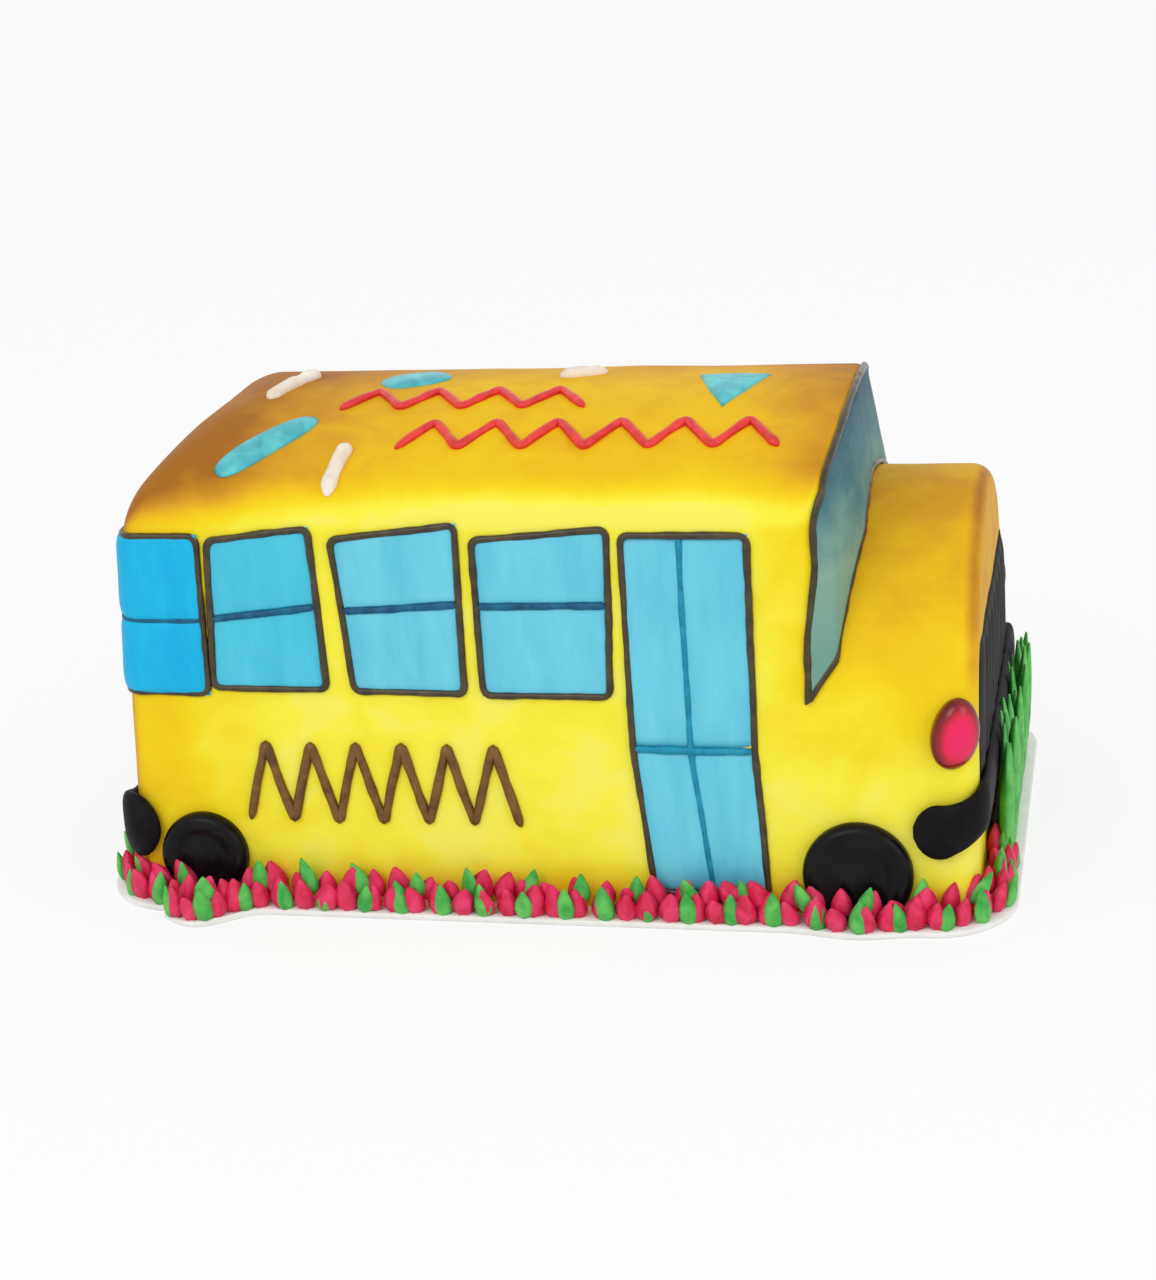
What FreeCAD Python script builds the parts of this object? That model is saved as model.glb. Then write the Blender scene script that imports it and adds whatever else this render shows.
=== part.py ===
import FreeCAD, Part
import Sketcher
import math
import os

# A novelty cake shaped and iced as a bus, in millimetres.
# +X points to the hood, +Z up, and the door is on the -Y side, here called the near side.
# The origin lies on the table under the middle of the cake.

doc = FreeCAD.newDocument("bus_cake")
dims = doc.addObject("Spreadsheet::Sheet", "dims")

SIZES = [
    # the card and the two iced forms; tool_reach is how far a cutting block runs past them
    ("card_thick", 2.5),
    ("card_reach", 12.4),
    ("card_end_reach", 14.4),
    ("card_corner", 30.0),
    ("tail", 165.0),
    ("nose", 165.0),
    ("cab_front", 116.0),
    ("cab_bow", 14.0),
    ("base_width", 180.0),
    ("wall_lean", 4.0),
    ("tail_lean", 3.0),
    ("roof_crown", 183.7),
    ("roof_radius", 150.0),
    ("eave_radius", 24.0),
    ("rear_roof_radius", 46.0),
    ("rear_roof_lift", 0.5),
    ("hood_drop", 38.2),
    ("tail_rounding", 8.0),
    ("nose_rounding", 8.0),
    ("tool_reach", 10.0),
    # iced panes and the piped lines round them
    ("pane_thick", 1.2),
    ("pane_gap", 0.2),
    ("bead", 1.4),
    ("window_drop", 36.2),
    ("window_height", 61.0),
    ("lower_light_height", 32.1),
    ("window_1_left", -18.6),
    ("window_1_right", 32.6),
    ("window_2_left", -72.8),
    ("window_2_right", -22.8),
    ("window_3_left", -122.2),
    ("window_3_right", -76.8),
    ("window_4_right", -126.2),
    ("window_4_gap", 3.5),
    ("door_left", 40.6),
    ("door_right", 87.4),
    ("door_sill", 9.0),
    ("door_rail", 64.0),
    ("screen_margin", 1.7),
    ("hatch_width", 48.0),
    ("hatch_lift", 12.0),
    ("hatch_drop", 52.7),
    ("hatch_light_height", 42.0),
    # wheels, bumpers, grille and lamps
    ("wheel_depth", 6.0),
    ("wheel_edge", 2.5),
    ("front_wheel_x", 121.0),
    ("front_wheel_radius", 20.5),
    ("front_wheel_z", 19.0),
    ("rear_wheel_x", -133.5),
    ("rear_wheel_radius", 17.5),
    ("rear_wheel_z", 19.5),
    ("bumper_height", 18.0),
    ("bumper_depth", 5.0),
    ("bumper_edge", 2.5),
    ("front_bumper_z", 38.5),
    ("rear_bumper_z", 31.0),
    ("front_bumper_end", 143.0),
    ("rear_bumper_end", -151.5),
    ("grille_depth", 2.6),
    ("grille_lift", 2.0),
    ("grille_drop", 44.5),
    ("grille_taper", 17.0),
    ("grille_sill_inset", 13.0),
    ("grille_shoulder_inset", 17.5),
    ("grille_head_inset", 26.0),
    ("slot_width", 3.0),
    ("slot_depth", 1.2),
    ("slot_margin", 6.0),
    ("slot_inset", 12.0),
    ("slot_count", 9),
    ("lamp_turn", 24.0),
    ("lamp_rise", 35.5),
    ("lamp_half_width", 8.5),
    ("lamp_half_height", 13.0),
    ("lamp_stand", 5.0),
    ("lamp_edge", 3.0),
    ("tail_lamp_gap", 13.5),
    # the leaf border round the foot
    ("leaf_pitch", 9.6),
    ("leaf_width", 8.6),
    ("leaf_depth", 5.0),
    ("leaf_height", 14.0),
    ("leaf_seat", 8.4),
    ("leaf_sway", 2.4),
    ("green_leaf_pitch", 19.2),
    ("green_leaf_width", 7.6),
    ("green_leaf_depth", 4.4),
    ("green_leaf_height", 24.0),
    ("green_leaf_seat", 3.4),
    ("end_leaf_height", 46.0),
    ("end_leaf_seat", 9.5),
    ("end_leaf_start", -45.0),
    ("front_bulge", 3.5),
    ("rear_bulge", 14.0),
    ("bulge_length", 26.0),
    ("bulge_flat", 8.0),
    # decorations on the sides and roof
    ("chalk_radius", 3.4),
    ("shape_line", 3.2),
    ("wave_line", 3.6),
    ("wave_height", 36.0),
    ("wave_pitch", 18.0),
    ("wave_count", 6),
    ("wave_gap", 2.0),
    ("wave_lift", 5.5),
    ("scroll_line", 3.4),
    ("scroll_pitch", 24.0),
    ("long_scroll_count", 6),
    ("long_scroll_x", 21.0),
    ("long_scroll_y", -47.0),
    ("long_scroll_height", 20.0),
    ("short_scroll_count", 4),
    ("short_scroll_x", -32.0),
    ("short_scroll_y", -20.0),
    ("short_scroll_height", 20.0),
    ("stick_1_x", -112.0),
    ("stick_1_y", -18.0),
    ("stick_1_end_x", -102.0),
    ("stick_1_end_y", 14.0),
    ("stick_2_x", -72.0),
    ("stick_2_inset", 20.0),
    ("stick_2_end_x", -69.0),
    ("stick_2_end_inset", 40.0),
    ("stick_3_x", 6.0),
    ("stick_3_y", 3.0),
    ("stick_3_end_x", 24.0),
    ("stick_3_end_y", 12.0),
    ("dash_1_x", -103.0),
    ("dash_1_inset", 39.0),
    ("dash_1_length", 48.0),
    ("dash_1_width", 12.0),
    ("dash_1_turn", 47.0),
    ("dash_2_x", -57.0),
    ("dash_2_y", 2.0),
    ("dash_2_length", 30.0),
    ("dash_2_width", 14.0),
    ("dash_2_turn", 35.0),
    ("wedge_x", 71.0),
    ("wedge_y", -5.0),
    ("wedge_reach", 18.0),
]

# Places that follow from the sizes above, such as heights measured down from the roof or up from the bumper
PLACES = [
    ("hood_crown", "=roof_crown - hood_drop"),
    ("window_head", "=roof_crown - window_drop"),
    ("window_sill", "=window_head - window_height"),
    ("window_rail", "=window_sill + lower_light_height"),
    ("front_bumper_top", "=front_bumper_z + bumper_height / 2"),
    ("rear_bumper_top", "=rear_bumper_z + bumper_height / 2"),
    ("hatch_sill", "=rear_bumper_top + hatch_lift"),
    ("hatch_head", "=roof_crown - hatch_drop"),
    ("hatch_light_sill", "=hatch_head - hatch_light_height"),
    ("grille_sill", "=front_bumper_top + grille_lift"),
    ("grille_head", "=hood_crown - grille_drop"),
    ("grille_shoulder", "=grille_head - grille_taper"),
    ("grille_sill_half", "=base_width / 2 - grille_sill_inset"),
    ("grille_shoulder_half", "=base_width / 2 - grille_shoulder_inset"),
    ("grille_head_half", "=base_width / 2 - grille_head_inset"),
    ("slot_span", "=2 * (grille_head_half - slot_inset)"),
    ("lamp_z", "=front_bumper_z + lamp_rise"),
    ("tail_lamp_y", "=hatch_width / 2 + lamp_half_width + tail_lamp_gap"),
    ("window_4_wrap", "=tail_lamp_y + lamp_half_width + window_4_gap"),
    ("wave_x", "=rear_wheel_x + rear_wheel_radius + wave_gap + wave_count * wave_pitch / 2"),
    ("wave_z", "=(window_sill + card_thick) / 2 + wave_lift"),
    ("stick_2_y", "=stick_2_inset - base_width / 2"),
    ("stick_2_end_y", "=stick_2_end_inset - base_width / 2"),
    ("dash_1_y", "=dash_1_inset - base_width / 2"),
]

row = 1
for alias, value in SIZES + PLACES:
    dims.set("A%d" % row, alias)
    dims.set("B%d" % row, str(value))
    dims.setAlias("B%d" % row, alias)
    row += 1
doc.recompute()


def size(alias):
    return float(dims.get(alias))


SC = Sketcher.Constraint
LEAN = math.radians(size("wall_lean"))
FLOOR = size("card_thick")
HALF_WIDTH = size("base_width") / 2
HOOD_RADIUS = (HALF_WIDTH * math.cos(LEAN) - size("hood_crown") * math.sin(LEAN)) / (1 - math.sin(LEAN))
HOOD_RADIUS_TERM = (
    "(dims.base_width / 2 * cos(dims.wall_lean) - dims.hood_crown * sin(dims.wall_lean))"
    " / (1 - sin(dims.wall_lean))"
)
HOOD_CENTRE = size("hood_crown") - HOOD_RADIUS


def vec(x, y, z=0.0):
    return FreeCAD.Vector(x, y, z)


def arc(centre, radius, start, end):
    circle = Part.Circle(vec(*centre), vec(0, 0, 1), radius)
    return Part.ArcOfCircle(circle, start, end)


def line(start, end):
    return Part.LineSegment(vec(*start), vec(*end))


def new_body(label):
    body = doc.addObject("PartDesign::Body", label)
    body.Label = label
    return body


def origin_plane(body, role):
    for feature in body.Origin.OriginFeatures:
        if feature.Role == role:
            return feature


def new_sketch(body, name, role, lift=""):
    sketch = body.newObject("Sketcher::SketchObject", name)
    sketch.AttachmentSupport = (origin_plane(body, role), [""])
    sketch.MapMode = "FlatFace"
    if lift:
        sketch.setExpression("AttachmentOffset.Base.z", lift)
    return sketch


def drive(sketch, constraint, expression):
    index = sketch.addConstraint(constraint)
    sketch.setExpression("Constraints[%d]" % index, expression)


def pad_feature(body, name, sketch, length, midplane=False):
    pad = body.newObject("PartDesign::Pad", name)
    pad.Profile = sketch
    pad.Midplane = midplane
    pad.setExpression("Length", length)
    return pad


def pocket_through(body, name, sketch):
    pocket = body.newObject("PartDesign::Pocket", name)
    pocket.Profile = sketch
    pocket.Type = "ThroughAll"
    pocket.Midplane = True
    return pocket


def chamfer_feature(body, name, base, edges, width):
    chamfer = body.newObject("PartDesign::Chamfer", name)
    chamfer.Base = (base, edges)
    chamfer.setExpression("Size", width)
    return chamfer


def edges_where(shape, test):
    return ["Edge%d" % (i + 1) for i, edge in enumerate(shape.Edges) if test(edge)]


def cut_feature(label, base, tool):
    cut = doc.addObject("Part::Cut", label)
    cut.Label = label
    cut.Base = base
    cut.Tool = tool
    return cut


def common_feature(label, base, tool):
    common = doc.addObject("Part::Common", label)
    common.Label = label
    common.Base = base
    common.Tool = tool
    return common


# Cross-sections of the cabin and the hood


def wall_trace(inset):
    """Distance of a leaning wall line from the origin, set in from the iced face."""
    return HALF_WIDTH * math.cos(LEAN) - inset


def roof_arcs(inset):
    """Centres and turning angle of the eave arc and the wide roof arc."""
    eave = size("eave_radius") - inset
    roof = size("roof_radius") - inset
    roof_z = size("roof_crown") - size("roof_radius")
    reach = (wall_trace(inset) - eave) / math.cos(LEAN)
    slope = math.tan(LEAN)
    a = 1 + slope ** 2
    b = -2 * (reach * slope + roof_z)
    c = reach ** 2 + roof_z ** 2 - (roof - eave) ** 2
    eave_z = (-b + math.sqrt(b * b - 4 * a * c)) / (2 * a)
    eave_y = reach - eave_z * slope
    return eave, roof, (eave_y, eave_z), (0.0, roof_z), math.atan2(eave_z - roof_z, eave_y)


NO_INSET = ("0", 0.0)


def floor_width_term(inset):
    """Width of a form on the card, from the iced width, the lean and the inset."""
    foot = "2 * dims.card_thick * tan(dims.wall_lean)"
    return "dims.base_width - %s - 2 * (%s) / cos(dims.wall_lean)" % (foot, inset[0])


def roof_lines(sketch, start, end, inset):
    """Two leaning walls, two eave arcs and the roof arc, from one foot round to the other."""
    eave, roof, eave_at, roof_at, turn = roof_arcs(inset[1])
    spring = (eave_at[0] + eave * math.cos(LEAN), eave_at[1] + eave * math.sin(LEAN))
    first = len(sketch.Geometry)
    sketch.addGeometry([
        line(start, spring),
        arc(eave_at, eave, LEAN, turn),
        arc(roof_at, roof, turn, math.pi - turn),
        arc((-eave_at[0], eave_at[1]), eave, math.pi - turn, math.pi - LEAN),
        line((-spring[0], spring[1]), end),
    ])
    sketch.addConstraint([SC("Tangent", first + i, 2, first + i + 1, 1) for i in range(4)])
    sketch.addConstraint([
        SC("PointOnObject", first + 2, 3, -2),
        SC("Equal", first + 1, first + 3),
        SC("Equal", first, first + 4),
    ])
    drive(sketch, SC("Angle", first, math.pi / 2 + LEAN), "90 + dims.wall_lean")
    drive(sketch, SC("Radius", first + 1, eave), "dims.eave_radius - (%s)" % inset[0])
    drive(sketch, SC("Radius", first + 2, roof), "dims.roof_radius - (%s)" % inset[0])
    drive(sketch, SC("DistanceY", -1, 1, first + 2, 3, roof_at[1]), "dims.roof_crown - dims.roof_radius")


def cabin_section(sketch, inset):
    """Floor, leaning walls, small eave arcs and one wide roof arc."""
    half = (wall_trace(inset[1]) - FLOOR * math.sin(LEAN)) / math.cos(LEAN)
    roof_lines(sketch, (half, FLOOR), (-half, FLOOR), inset)
    sketch.addGeometry([line((-half, FLOOR), (half, FLOOR))])
    sketch.addConstraint([
        SC("Coincident", 4, 2, 5, 1),
        SC("Coincident", 5, 2, 0, 1),
        SC("Symmetric", 5, 1, 5, 2, -2),
    ])
    drive(sketch, SC("DistanceY", -1, 1, 5, 1, FLOOR), "dims.card_thick")
    drive(sketch, SC("Distance", 5, 2 * half), floor_width_term(inset))


def hood_section(sketch):
    """Floor, leaning walls and one round arch tangent to both."""
    half = (wall_trace(0) - FLOOR * math.sin(LEAN)) / math.cos(LEAN)
    spring = (HOOD_RADIUS * math.cos(LEAN), HOOD_CENTRE + HOOD_RADIUS * math.sin(LEAN))
    sketch.addGeometry([
        line((-half, FLOOR), (half, FLOOR)),
        line((half, FLOOR), spring),
        arc((0, HOOD_CENTRE), HOOD_RADIUS, LEAN, math.pi - LEAN),
        line((-spring[0], spring[1]), (-half, FLOOR)),
    ])
    sketch.addConstraint([
        SC("Coincident", 0, 2, 1, 1),
        SC("Tangent", 1, 2, 2, 1),
        SC("Tangent", 2, 2, 3, 1),
        SC("Coincident", 3, 2, 0, 1),
        SC("Symmetric", 0, 1, 0, 2, -2),
        SC("Equal", 1, 3),
    ])
    drive(sketch, SC("DistanceY", -1, 1, 0, 1, FLOOR), "dims.card_thick")
    drive(sketch, SC("Distance", 0, 2 * half), floor_width_term(NO_INSET))
    drive(sketch, SC("Angle", 1, math.pi / 2 + LEAN), "90 + dims.wall_lean")
    drive(sketch, SC("Radius", 2, HOOD_RADIUS), HOOD_RADIUS_TERM)


# Cuts that rake the tail and bow the cabin's front

RAKE = math.radians(size("tail_lean"))


def closed_lines(sketch, corners):
    """Straight lines round a list of corners, joined end to end."""
    count = len(corners)
    sketch.addGeometry([line(corners[i], corners[(i + 1) % count]) for i in range(count)])
    sketch.addConstraint([SC("Coincident", i, 2, (i + 1) % count, 1) for i in range(count)])


def cut_tail(body, inset):
    """Take a leaning wedge off the tail."""
    tail = size("tail") - inset[1] / math.cos(RAKE)
    top = size("roof_crown") + size("tool_reach")
    back = 2 * size("tool_reach")
    sketch = new_sketch(body, "tail_line", "XZ_Plane")
    closed_lines(sketch, [
        (-tail, 0),
        (-tail + top * math.tan(RAKE), top),
        (-tail - back, top),
        (-tail - back, 0),
    ])
    sketch.addConstraint([
        SC("Horizontal", 1),
        SC("Vertical", 2),
        SC("Horizontal", 3),
        SC("PointOnObject", 0, 1, -1),
    ])
    tail_term = "dims.tail - (%s) / cos(dims.tail_lean)" % inset[0]
    drive(sketch, SC("DistanceX", 0, 1, -1, 1, tail), tail_term)
    drive(sketch, SC("Angle", 0, math.pi / 2 - RAKE), "90 - dims.tail_lean")
    drive(sketch, SC("DistanceY", -1, 1, 1, 1, top), "dims.roof_crown + dims.tool_reach")
    drive(sketch, SC("DistanceX", 3, 1, 0, 1, back), "2 * dims.tool_reach")
    return pocket_through(body, "tail_rake", sketch)


def cut_rear_roof(body, inset):
    """Round the roof down to the tail, seen from the side, with one arc that runs into the leaning tail."""
    radius = size("rear_roof_radius") - inset[1]
    height = size("roof_crown") + size("rear_roof_lift") - size("rear_roof_radius")
    back = size("tail") - height * math.tan(RAKE) - size("rear_roof_radius") / math.cos(RAKE)
    foot = height + radius * math.sin(RAKE)
    top = size("roof_crown") + size("tool_reach")
    end = size("tail") + size("tool_reach")
    sketch = new_sketch(body, "rear_roof_line", "XZ_Plane")
    sketch.addGeometry([
        arc((-back, height), radius, math.pi / 2, math.pi - RAKE),
        line((-back - radius * math.cos(RAKE), foot), (-end, foot)),
        line((-end, foot), (-end, top)),
        line((-end, top), (-back, top)),
        line((-back, top), (-back, height + radius)),
    ])
    sketch.addConstraint([
        SC("Coincident", 0, 2, 1, 1),
        SC("Coincident", 1, 2, 2, 1),
        SC("Coincident", 2, 2, 3, 1),
        SC("Coincident", 3, 2, 4, 1),
        SC("Coincident", 4, 2, 0, 1),
        SC("Horizontal", 1),
        SC("Vertical", 2),
        SC("Horizontal", 3),
        SC("Vertical", 4),
        SC("Vertical", 0, 3, 0, 1),
    ])
    height_term = "(dims.roof_crown + dims.rear_roof_lift - dims.rear_roof_radius)"
    lean_term = "%s * tan(dims.tail_lean)" % height_term
    back_term = "dims.tail - %s - dims.rear_roof_radius / cos(dims.tail_lean)" % lean_term
    radius_term = "(dims.rear_roof_radius - (%s))" % inset[0]
    foot_term = "%s + %s * sin(dims.tail_lean)" % (height_term, radius_term)
    drive(sketch, SC("Radius", 0, radius), radius_term)
    drive(sketch, SC("DistanceY", -1, 1, 0, 3, height), height_term)
    drive(sketch, SC("DistanceX", 0, 3, -1, 1, back), back_term)
    drive(sketch, SC("DistanceY", -1, 1, 1, 2, foot), foot_term)
    drive(sketch, SC("DistanceX", 2, 1, -1, 1, end), "dims.tail + dims.tool_reach")
    drive(sketch, SC("DistanceY", -1, 1, 2, 2, top), "dims.roof_crown + dims.tool_reach")
    return pocket_through(body, "rear_roof", sketch)


CAB_RADIUS = (HALF_WIDTH ** 2 + size("cab_bow") ** 2) / (2 * size("cab_bow"))
CAB_RADIUS_TERM = "((dims.base_width / 2)^2 + dims.cab_bow^2) / (2 * dims.cab_bow)"


def cut_bow(body):
    """Round the cabin's front in plan: its middle at the front, its corners set back by the bow."""
    half = HALF_WIDTH
    centre = size("cab_front") - CAB_RADIUS
    turn = math.asin(half / CAB_RADIUS)
    edge_x = centre + CAB_RADIUS * math.cos(turn)
    ahead = size("cab_front") + size("cab_bow")
    sketch = new_sketch(body, "bow_line", "XY_Plane")
    sketch.addGeometry([
        arc((centre, 0), CAB_RADIUS, -turn, turn),
        line((edge_x, half), (ahead, half)),
        line((ahead, half), (ahead, -half)),
        line((ahead, -half), (edge_x, -half)),
    ])
    sketch.addConstraint([
        SC("Coincident", 0, 2, 1, 1),
        SC("Coincident", 1, 2, 2, 1),
        SC("Coincident", 2, 2, 3, 1),
        SC("Coincident", 3, 2, 0, 1),
        SC("Horizontal", 1),
        SC("Vertical", 2),
        SC("Horizontal", 3),
        SC("PointOnObject", 0, 3, -1),
    ])
    drive(sketch, SC("Radius", 0, CAB_RADIUS), CAB_RADIUS_TERM)
    drive(sketch, SC("DistanceX", 0, 3, -1, 1, -centre), CAB_RADIUS_TERM + " - dims.cab_front")
    drive(sketch, SC("DistanceY", -1, 1, 0, 2, half), "dims.base_width / 2")
    drive(sketch, SC("DistanceX", -1, 1, 1, 2, ahead), "dims.cab_front + dims.cab_bow")
    return pocket_through(body, "bow", sketch)


def rim_edges(shape, gap_of, depth):
    """Edges whose ends both lie this deep behind a face, told by its gap function, not those on the card."""

    def on_rim(edge):
        gaps = [abs(gap_of(corner) - depth) for corner in edge.Vertexes]
        return max(gaps) < 0.01 + 0.03 * depth and edge.BoundBox.ZMax > FLOOR + 0.5

    return edges_where(shape, on_rim)


# A rounding is made of three flats that touch its arc: one at 45 degrees, one at each of its corners
MIDDLE_FLAT = 2 - math.sqrt(2)
MIDDLE_FLAT_TERM = "(2 - sqrt(2))"
CORNER_FLAT_TERM = "(tan(22.5) - tan(11.25))"


def round_rim(body, gap_of, radius):
    """Round the rim of an end face; the radius is an expression and its present value."""
    doc.recompute()
    rim = rim_edges(body.Shape, gap_of, 0)
    middle = chamfer_feature(body, "rim_flat", body.Tip, rim, "%s * (%s)" % (MIDDLE_FLAT_TERM, radius[0]))
    doc.recompute()
    both = rim_edges(body.Shape, gap_of, 0) + rim_edges(body.Shape, gap_of, MIDDLE_FLAT * radius[1])
    chamfer_feature(body, "rim_corners", middle, both, "%s * (%s)" % (CORNER_FLAT_TERM, radius[0]))


# The two iced forms


def cabin_solid(label, inset):
    body = new_body(label)
    section = new_sketch(body, "section", "YZ_Plane", "-dims.tail - dims.tool_reach")
    cabin_section(section, inset)
    length = "dims.tail + dims.tool_reach + dims.cab_front + dims.cab_bow / 2"
    pad_feature(body, "cabin_length", section, length)
    cut_tail(body, inset)
    return body


def round_tail(body, inset):
    """Round the edges between the tail and the sides, then the roof down to the tail."""
    start = -size("tail") + inset[1] / math.cos(RAKE)
    radius = ("dims.tail_rounding - (%s)" % inset[0], size("tail_rounding") - inset[1])
    round_rim(body, lambda corner: corner.X - start - corner.Z * math.tan(RAKE), radius)
    cut_rear_roof(body, inset)


cabin_cake = cabin_solid("cabin_cake", NO_INSET)
round_tail(cabin_cake, NO_INSET)
cut_bow(cabin_cake)

hood_form = new_body("hood_form")
section = new_sketch(hood_form, "section", "YZ_Plane", "dims.cab_front - 2 * dims.cab_bow")
hood_section(section)
pad_feature(hood_form, "hood_length", section, "dims.nose - dims.cab_front + 2 * dims.cab_bow")
round_rim(hood_form, lambda corner: size("nose") - corner.X, ("dims.nose_rounding", size("nose_rounding")))
hood_cake = cut_feature("hood_cake", hood_form, cabin_cake)
nodes = [cabin_cake, hood_cake]

# Small shapes that the pieces on the walls share


def frame_on(point, along, outward):
    """Placement with local x along a surface, z out of it and y square to both."""
    turn = FreeCAD.Rotation(along, outward.cross(along), outward, "ZXY")
    return FreeCAD.Placement(point, turn)


def wall_frame(side, x, height):
    """Placement on a leaning side wall, local y up it."""
    sign = -1 if side == "near" else 1
    point = vec(x, sign * (HALF_WIDTH - height * math.tan(LEAN)), height)
    return frame_on(point, vec(-sign, 0, 0), vec(0, sign * math.cos(LEAN), math.sin(LEAN)))


def tail_frame(height):
    """Placement on the leaning tail face, local y up it."""
    point = vec(-size("tail") + height * math.tan(RAKE), 0, height)
    return frame_on(point, vec(0, -1, 0), vec(-math.cos(RAKE), 0, math.sin(RAKE)))


def rounded_rectangle(sketch, width, height, corner):
    """A centred rectangle with round corners; each size is an expression and its present value."""
    half_w = width[1] / 2
    half_h = height[1] / 2
    r = corner[1]
    first = len(sketch.Geometry)
    quarter = math.pi / 2
    sketch.addGeometry([
        line((r - half_w, -half_h), (half_w - r, -half_h)),
        arc((half_w - r, r - half_h), r, -quarter, 0),
        line((half_w, r - half_h), (half_w, half_h - r)),
        arc((half_w - r, half_h - r), r, 0, quarter),
        line((half_w - r, half_h), (r - half_w, half_h)),
        arc((r - half_w, half_h - r), r, quarter, 2 * quarter),
        line((-half_w, half_h - r), (-half_w, r - half_h)),
        arc((r - half_w, r - half_h), r, 2 * quarter, 3 * quarter),
    ])
    sketch.addConstraint([SC("Tangent", first + i, 2, first + (i + 1) % 8, 1) for i in range(8)])
    sketch.addConstraint([
        SC("Horizontal", first),
        SC("Vertical", first + 2),
        SC("Horizontal", first + 4),
        SC("Vertical", first + 6),
        SC("Equal", first + 1, first + 3),
        SC("Equal", first + 3, first + 5),
        SC("Equal", first + 5, first + 7),
        SC("Symmetric", first + 3, 3, first + 7, 3, -1, 1),
    ])
    drive(sketch, SC("DistanceX", first + 6, 1, first + 2, 1, width[1]), width[0])
    drive(sketch, SC("DistanceY", first, 1, first + 4, 1, height[1]), height[0])
    drive(sketch, SC("Radius", first + 1, r), corner[0])


def rectangle(sketch, left, right, bottom, top):
    """A rectangle whose four sides are expressions with their present values."""
    first = len(sketch.Geometry)
    corners = [(left[1], bottom[1]), (right[1], bottom[1]), (right[1], top[1]), (left[1], top[1])]
    sketch.addGeometry([line(corners[i], corners[(i + 1) % 4]) for i in range(4)])
    sketch.addConstraint([SC("Coincident", first + i, 2, first + (i + 1) % 4, 1) for i in range(4)])
    sketch.addConstraint([
        SC("Horizontal", first),
        SC("Vertical", first + 1),
        SC("Horizontal", first + 2),
        SC("Vertical", first + 3),
    ])
    reach(sketch, "DistanceX", first, 1, left)
    reach(sketch, "DistanceX", first + 2, 1, right)
    reach(sketch, "DistanceY", first, 1, bottom)
    reach(sketch, "DistanceY", first + 2, 1, top)


def reach(sketch, kind, geometry, point, place):
    """Drive one coordinate of a point from the sketch's origin, on whichever side it lies."""
    if place[1] < 0:
        drive(sketch, SC(kind, geometry, point, -1, 1, -place[1]), "-(%s)" % place[0])
    else:
        drive(sketch, SC(kind, -1, 1, geometry, point, place[1]), place[0])


def half_round(sketch, centre):
    """The section of a piped line on a flat face: half a circle standing on its diameter."""
    radius = size("bead")
    sketch.addGeometry([
        arc((centre[1], 0), radius, 0, math.pi),
        line((centre[1] - radius, 0), (centre[1] + radius, 0)),
    ])
    sketch.addConstraint([
        SC("Coincident", 0, 2, 1, 1),
        SC("Coincident", 0, 1, 1, 2),
        SC("PointOnObject", 0, 3, -1),
        SC("PointOnObject", 1, 1, -1),
    ])
    drive(sketch, SC("Radius", 0, radius), "dims.bead")
    reach(sketch, "DistanceX", 0, 3, centre)


def piped_loop(body, width, height):
    """A piped line round a rectangle on the local XY plane, mitred at its corners."""
    path = new_sketch(body, "loop", "XY_Plane")
    half_w = width[1] / 2
    half_h = height[1] / 2
    corners = [(0, -half_h), (half_w, -half_h), (half_w, half_h), (-half_w, half_h), (-half_w, -half_h)]
    path.addGeometry([line(corners[i], corners[(i + 1) % 5]) for i in range(5)])
    path.addConstraint([SC("Coincident", i, 2, (i + 1) % 5, 1) for i in range(5)])
    path.addConstraint([
        SC("PointOnObject", 0, 1, -2),
        SC("Horizontal", 0),
        SC("Vertical", 1),
        SC("Horizontal", 2),
        SC("Vertical", 3),
        SC("Symmetric", 1, 2, 3, 2, -1, 1),
    ])
    drive(path, SC("DistanceX", 3, 1, 1, 1, width[1]), width[0])
    drive(path, SC("DistanceY", 0, 1, 2, 1, height[1]), height[0])
    profile = new_sketch(body, "line_section", "YZ_Plane")
    half_round(profile, ("-(%s) / 2" % height[0], -half_h))
    pipe = body.newObject("PartDesign::AdditivePipe", "piped_line")
    pipe.Profile = profile
    pipe.Spine = (path, [])
    pipe.Transition = "Right corner"
    doc.recompute()
    return pipe


def piped_bar(body, name, plane, centre, length):
    """A straight piped line on the local XY plane, across the local plane of its section."""
    section = new_sketch(body, name + "_section", plane)
    half_round(section, centre)
    return pad_feature(body, name, section, length, True)


# Windows: two iced lights, a piped outline and a piped rail between the lights

EDGE = ("dims.bead + dims.pane_gap", size("bead") + size("pane_gap"))
RISE = "(dims.window_head - dims.window_sill) / cos(dims.wall_lean)"
RISE_NOW = (size("window_head") - size("window_sill")) / math.cos(LEAN)
MIDDLE = (size("window_head") + size("window_sill")) / 2
RAIL = "(dims.window_rail - (dims.window_head + dims.window_sill) / 2) / cos(dims.wall_lean)"
RAIL_NOW = (size("window_rail") - MIDDLE) / math.cos(LEAN)


def lights(body, name, columns, rows):
    """Rectangular lights of icing, one for each column and row."""
    sketch = new_sketch(body, name + "_outline", "XY_Plane")
    for left, right in columns:
        for bottom, top in rows:
            rectangle(sketch, left, right, bottom, top)
    return pad_feature(body, name, sketch, "dims.pane_thick")


def inside(term, now, sign, share=1):
    """A place beside a piped line, an edge allowance (or several) to either side of its middle."""
    direction = "+" if sign > 0 else "-"
    return "%s %s %d * (%s)" % (term, direction, share, EDGE[0]), now + sign * share * EDGE[1]


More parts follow.
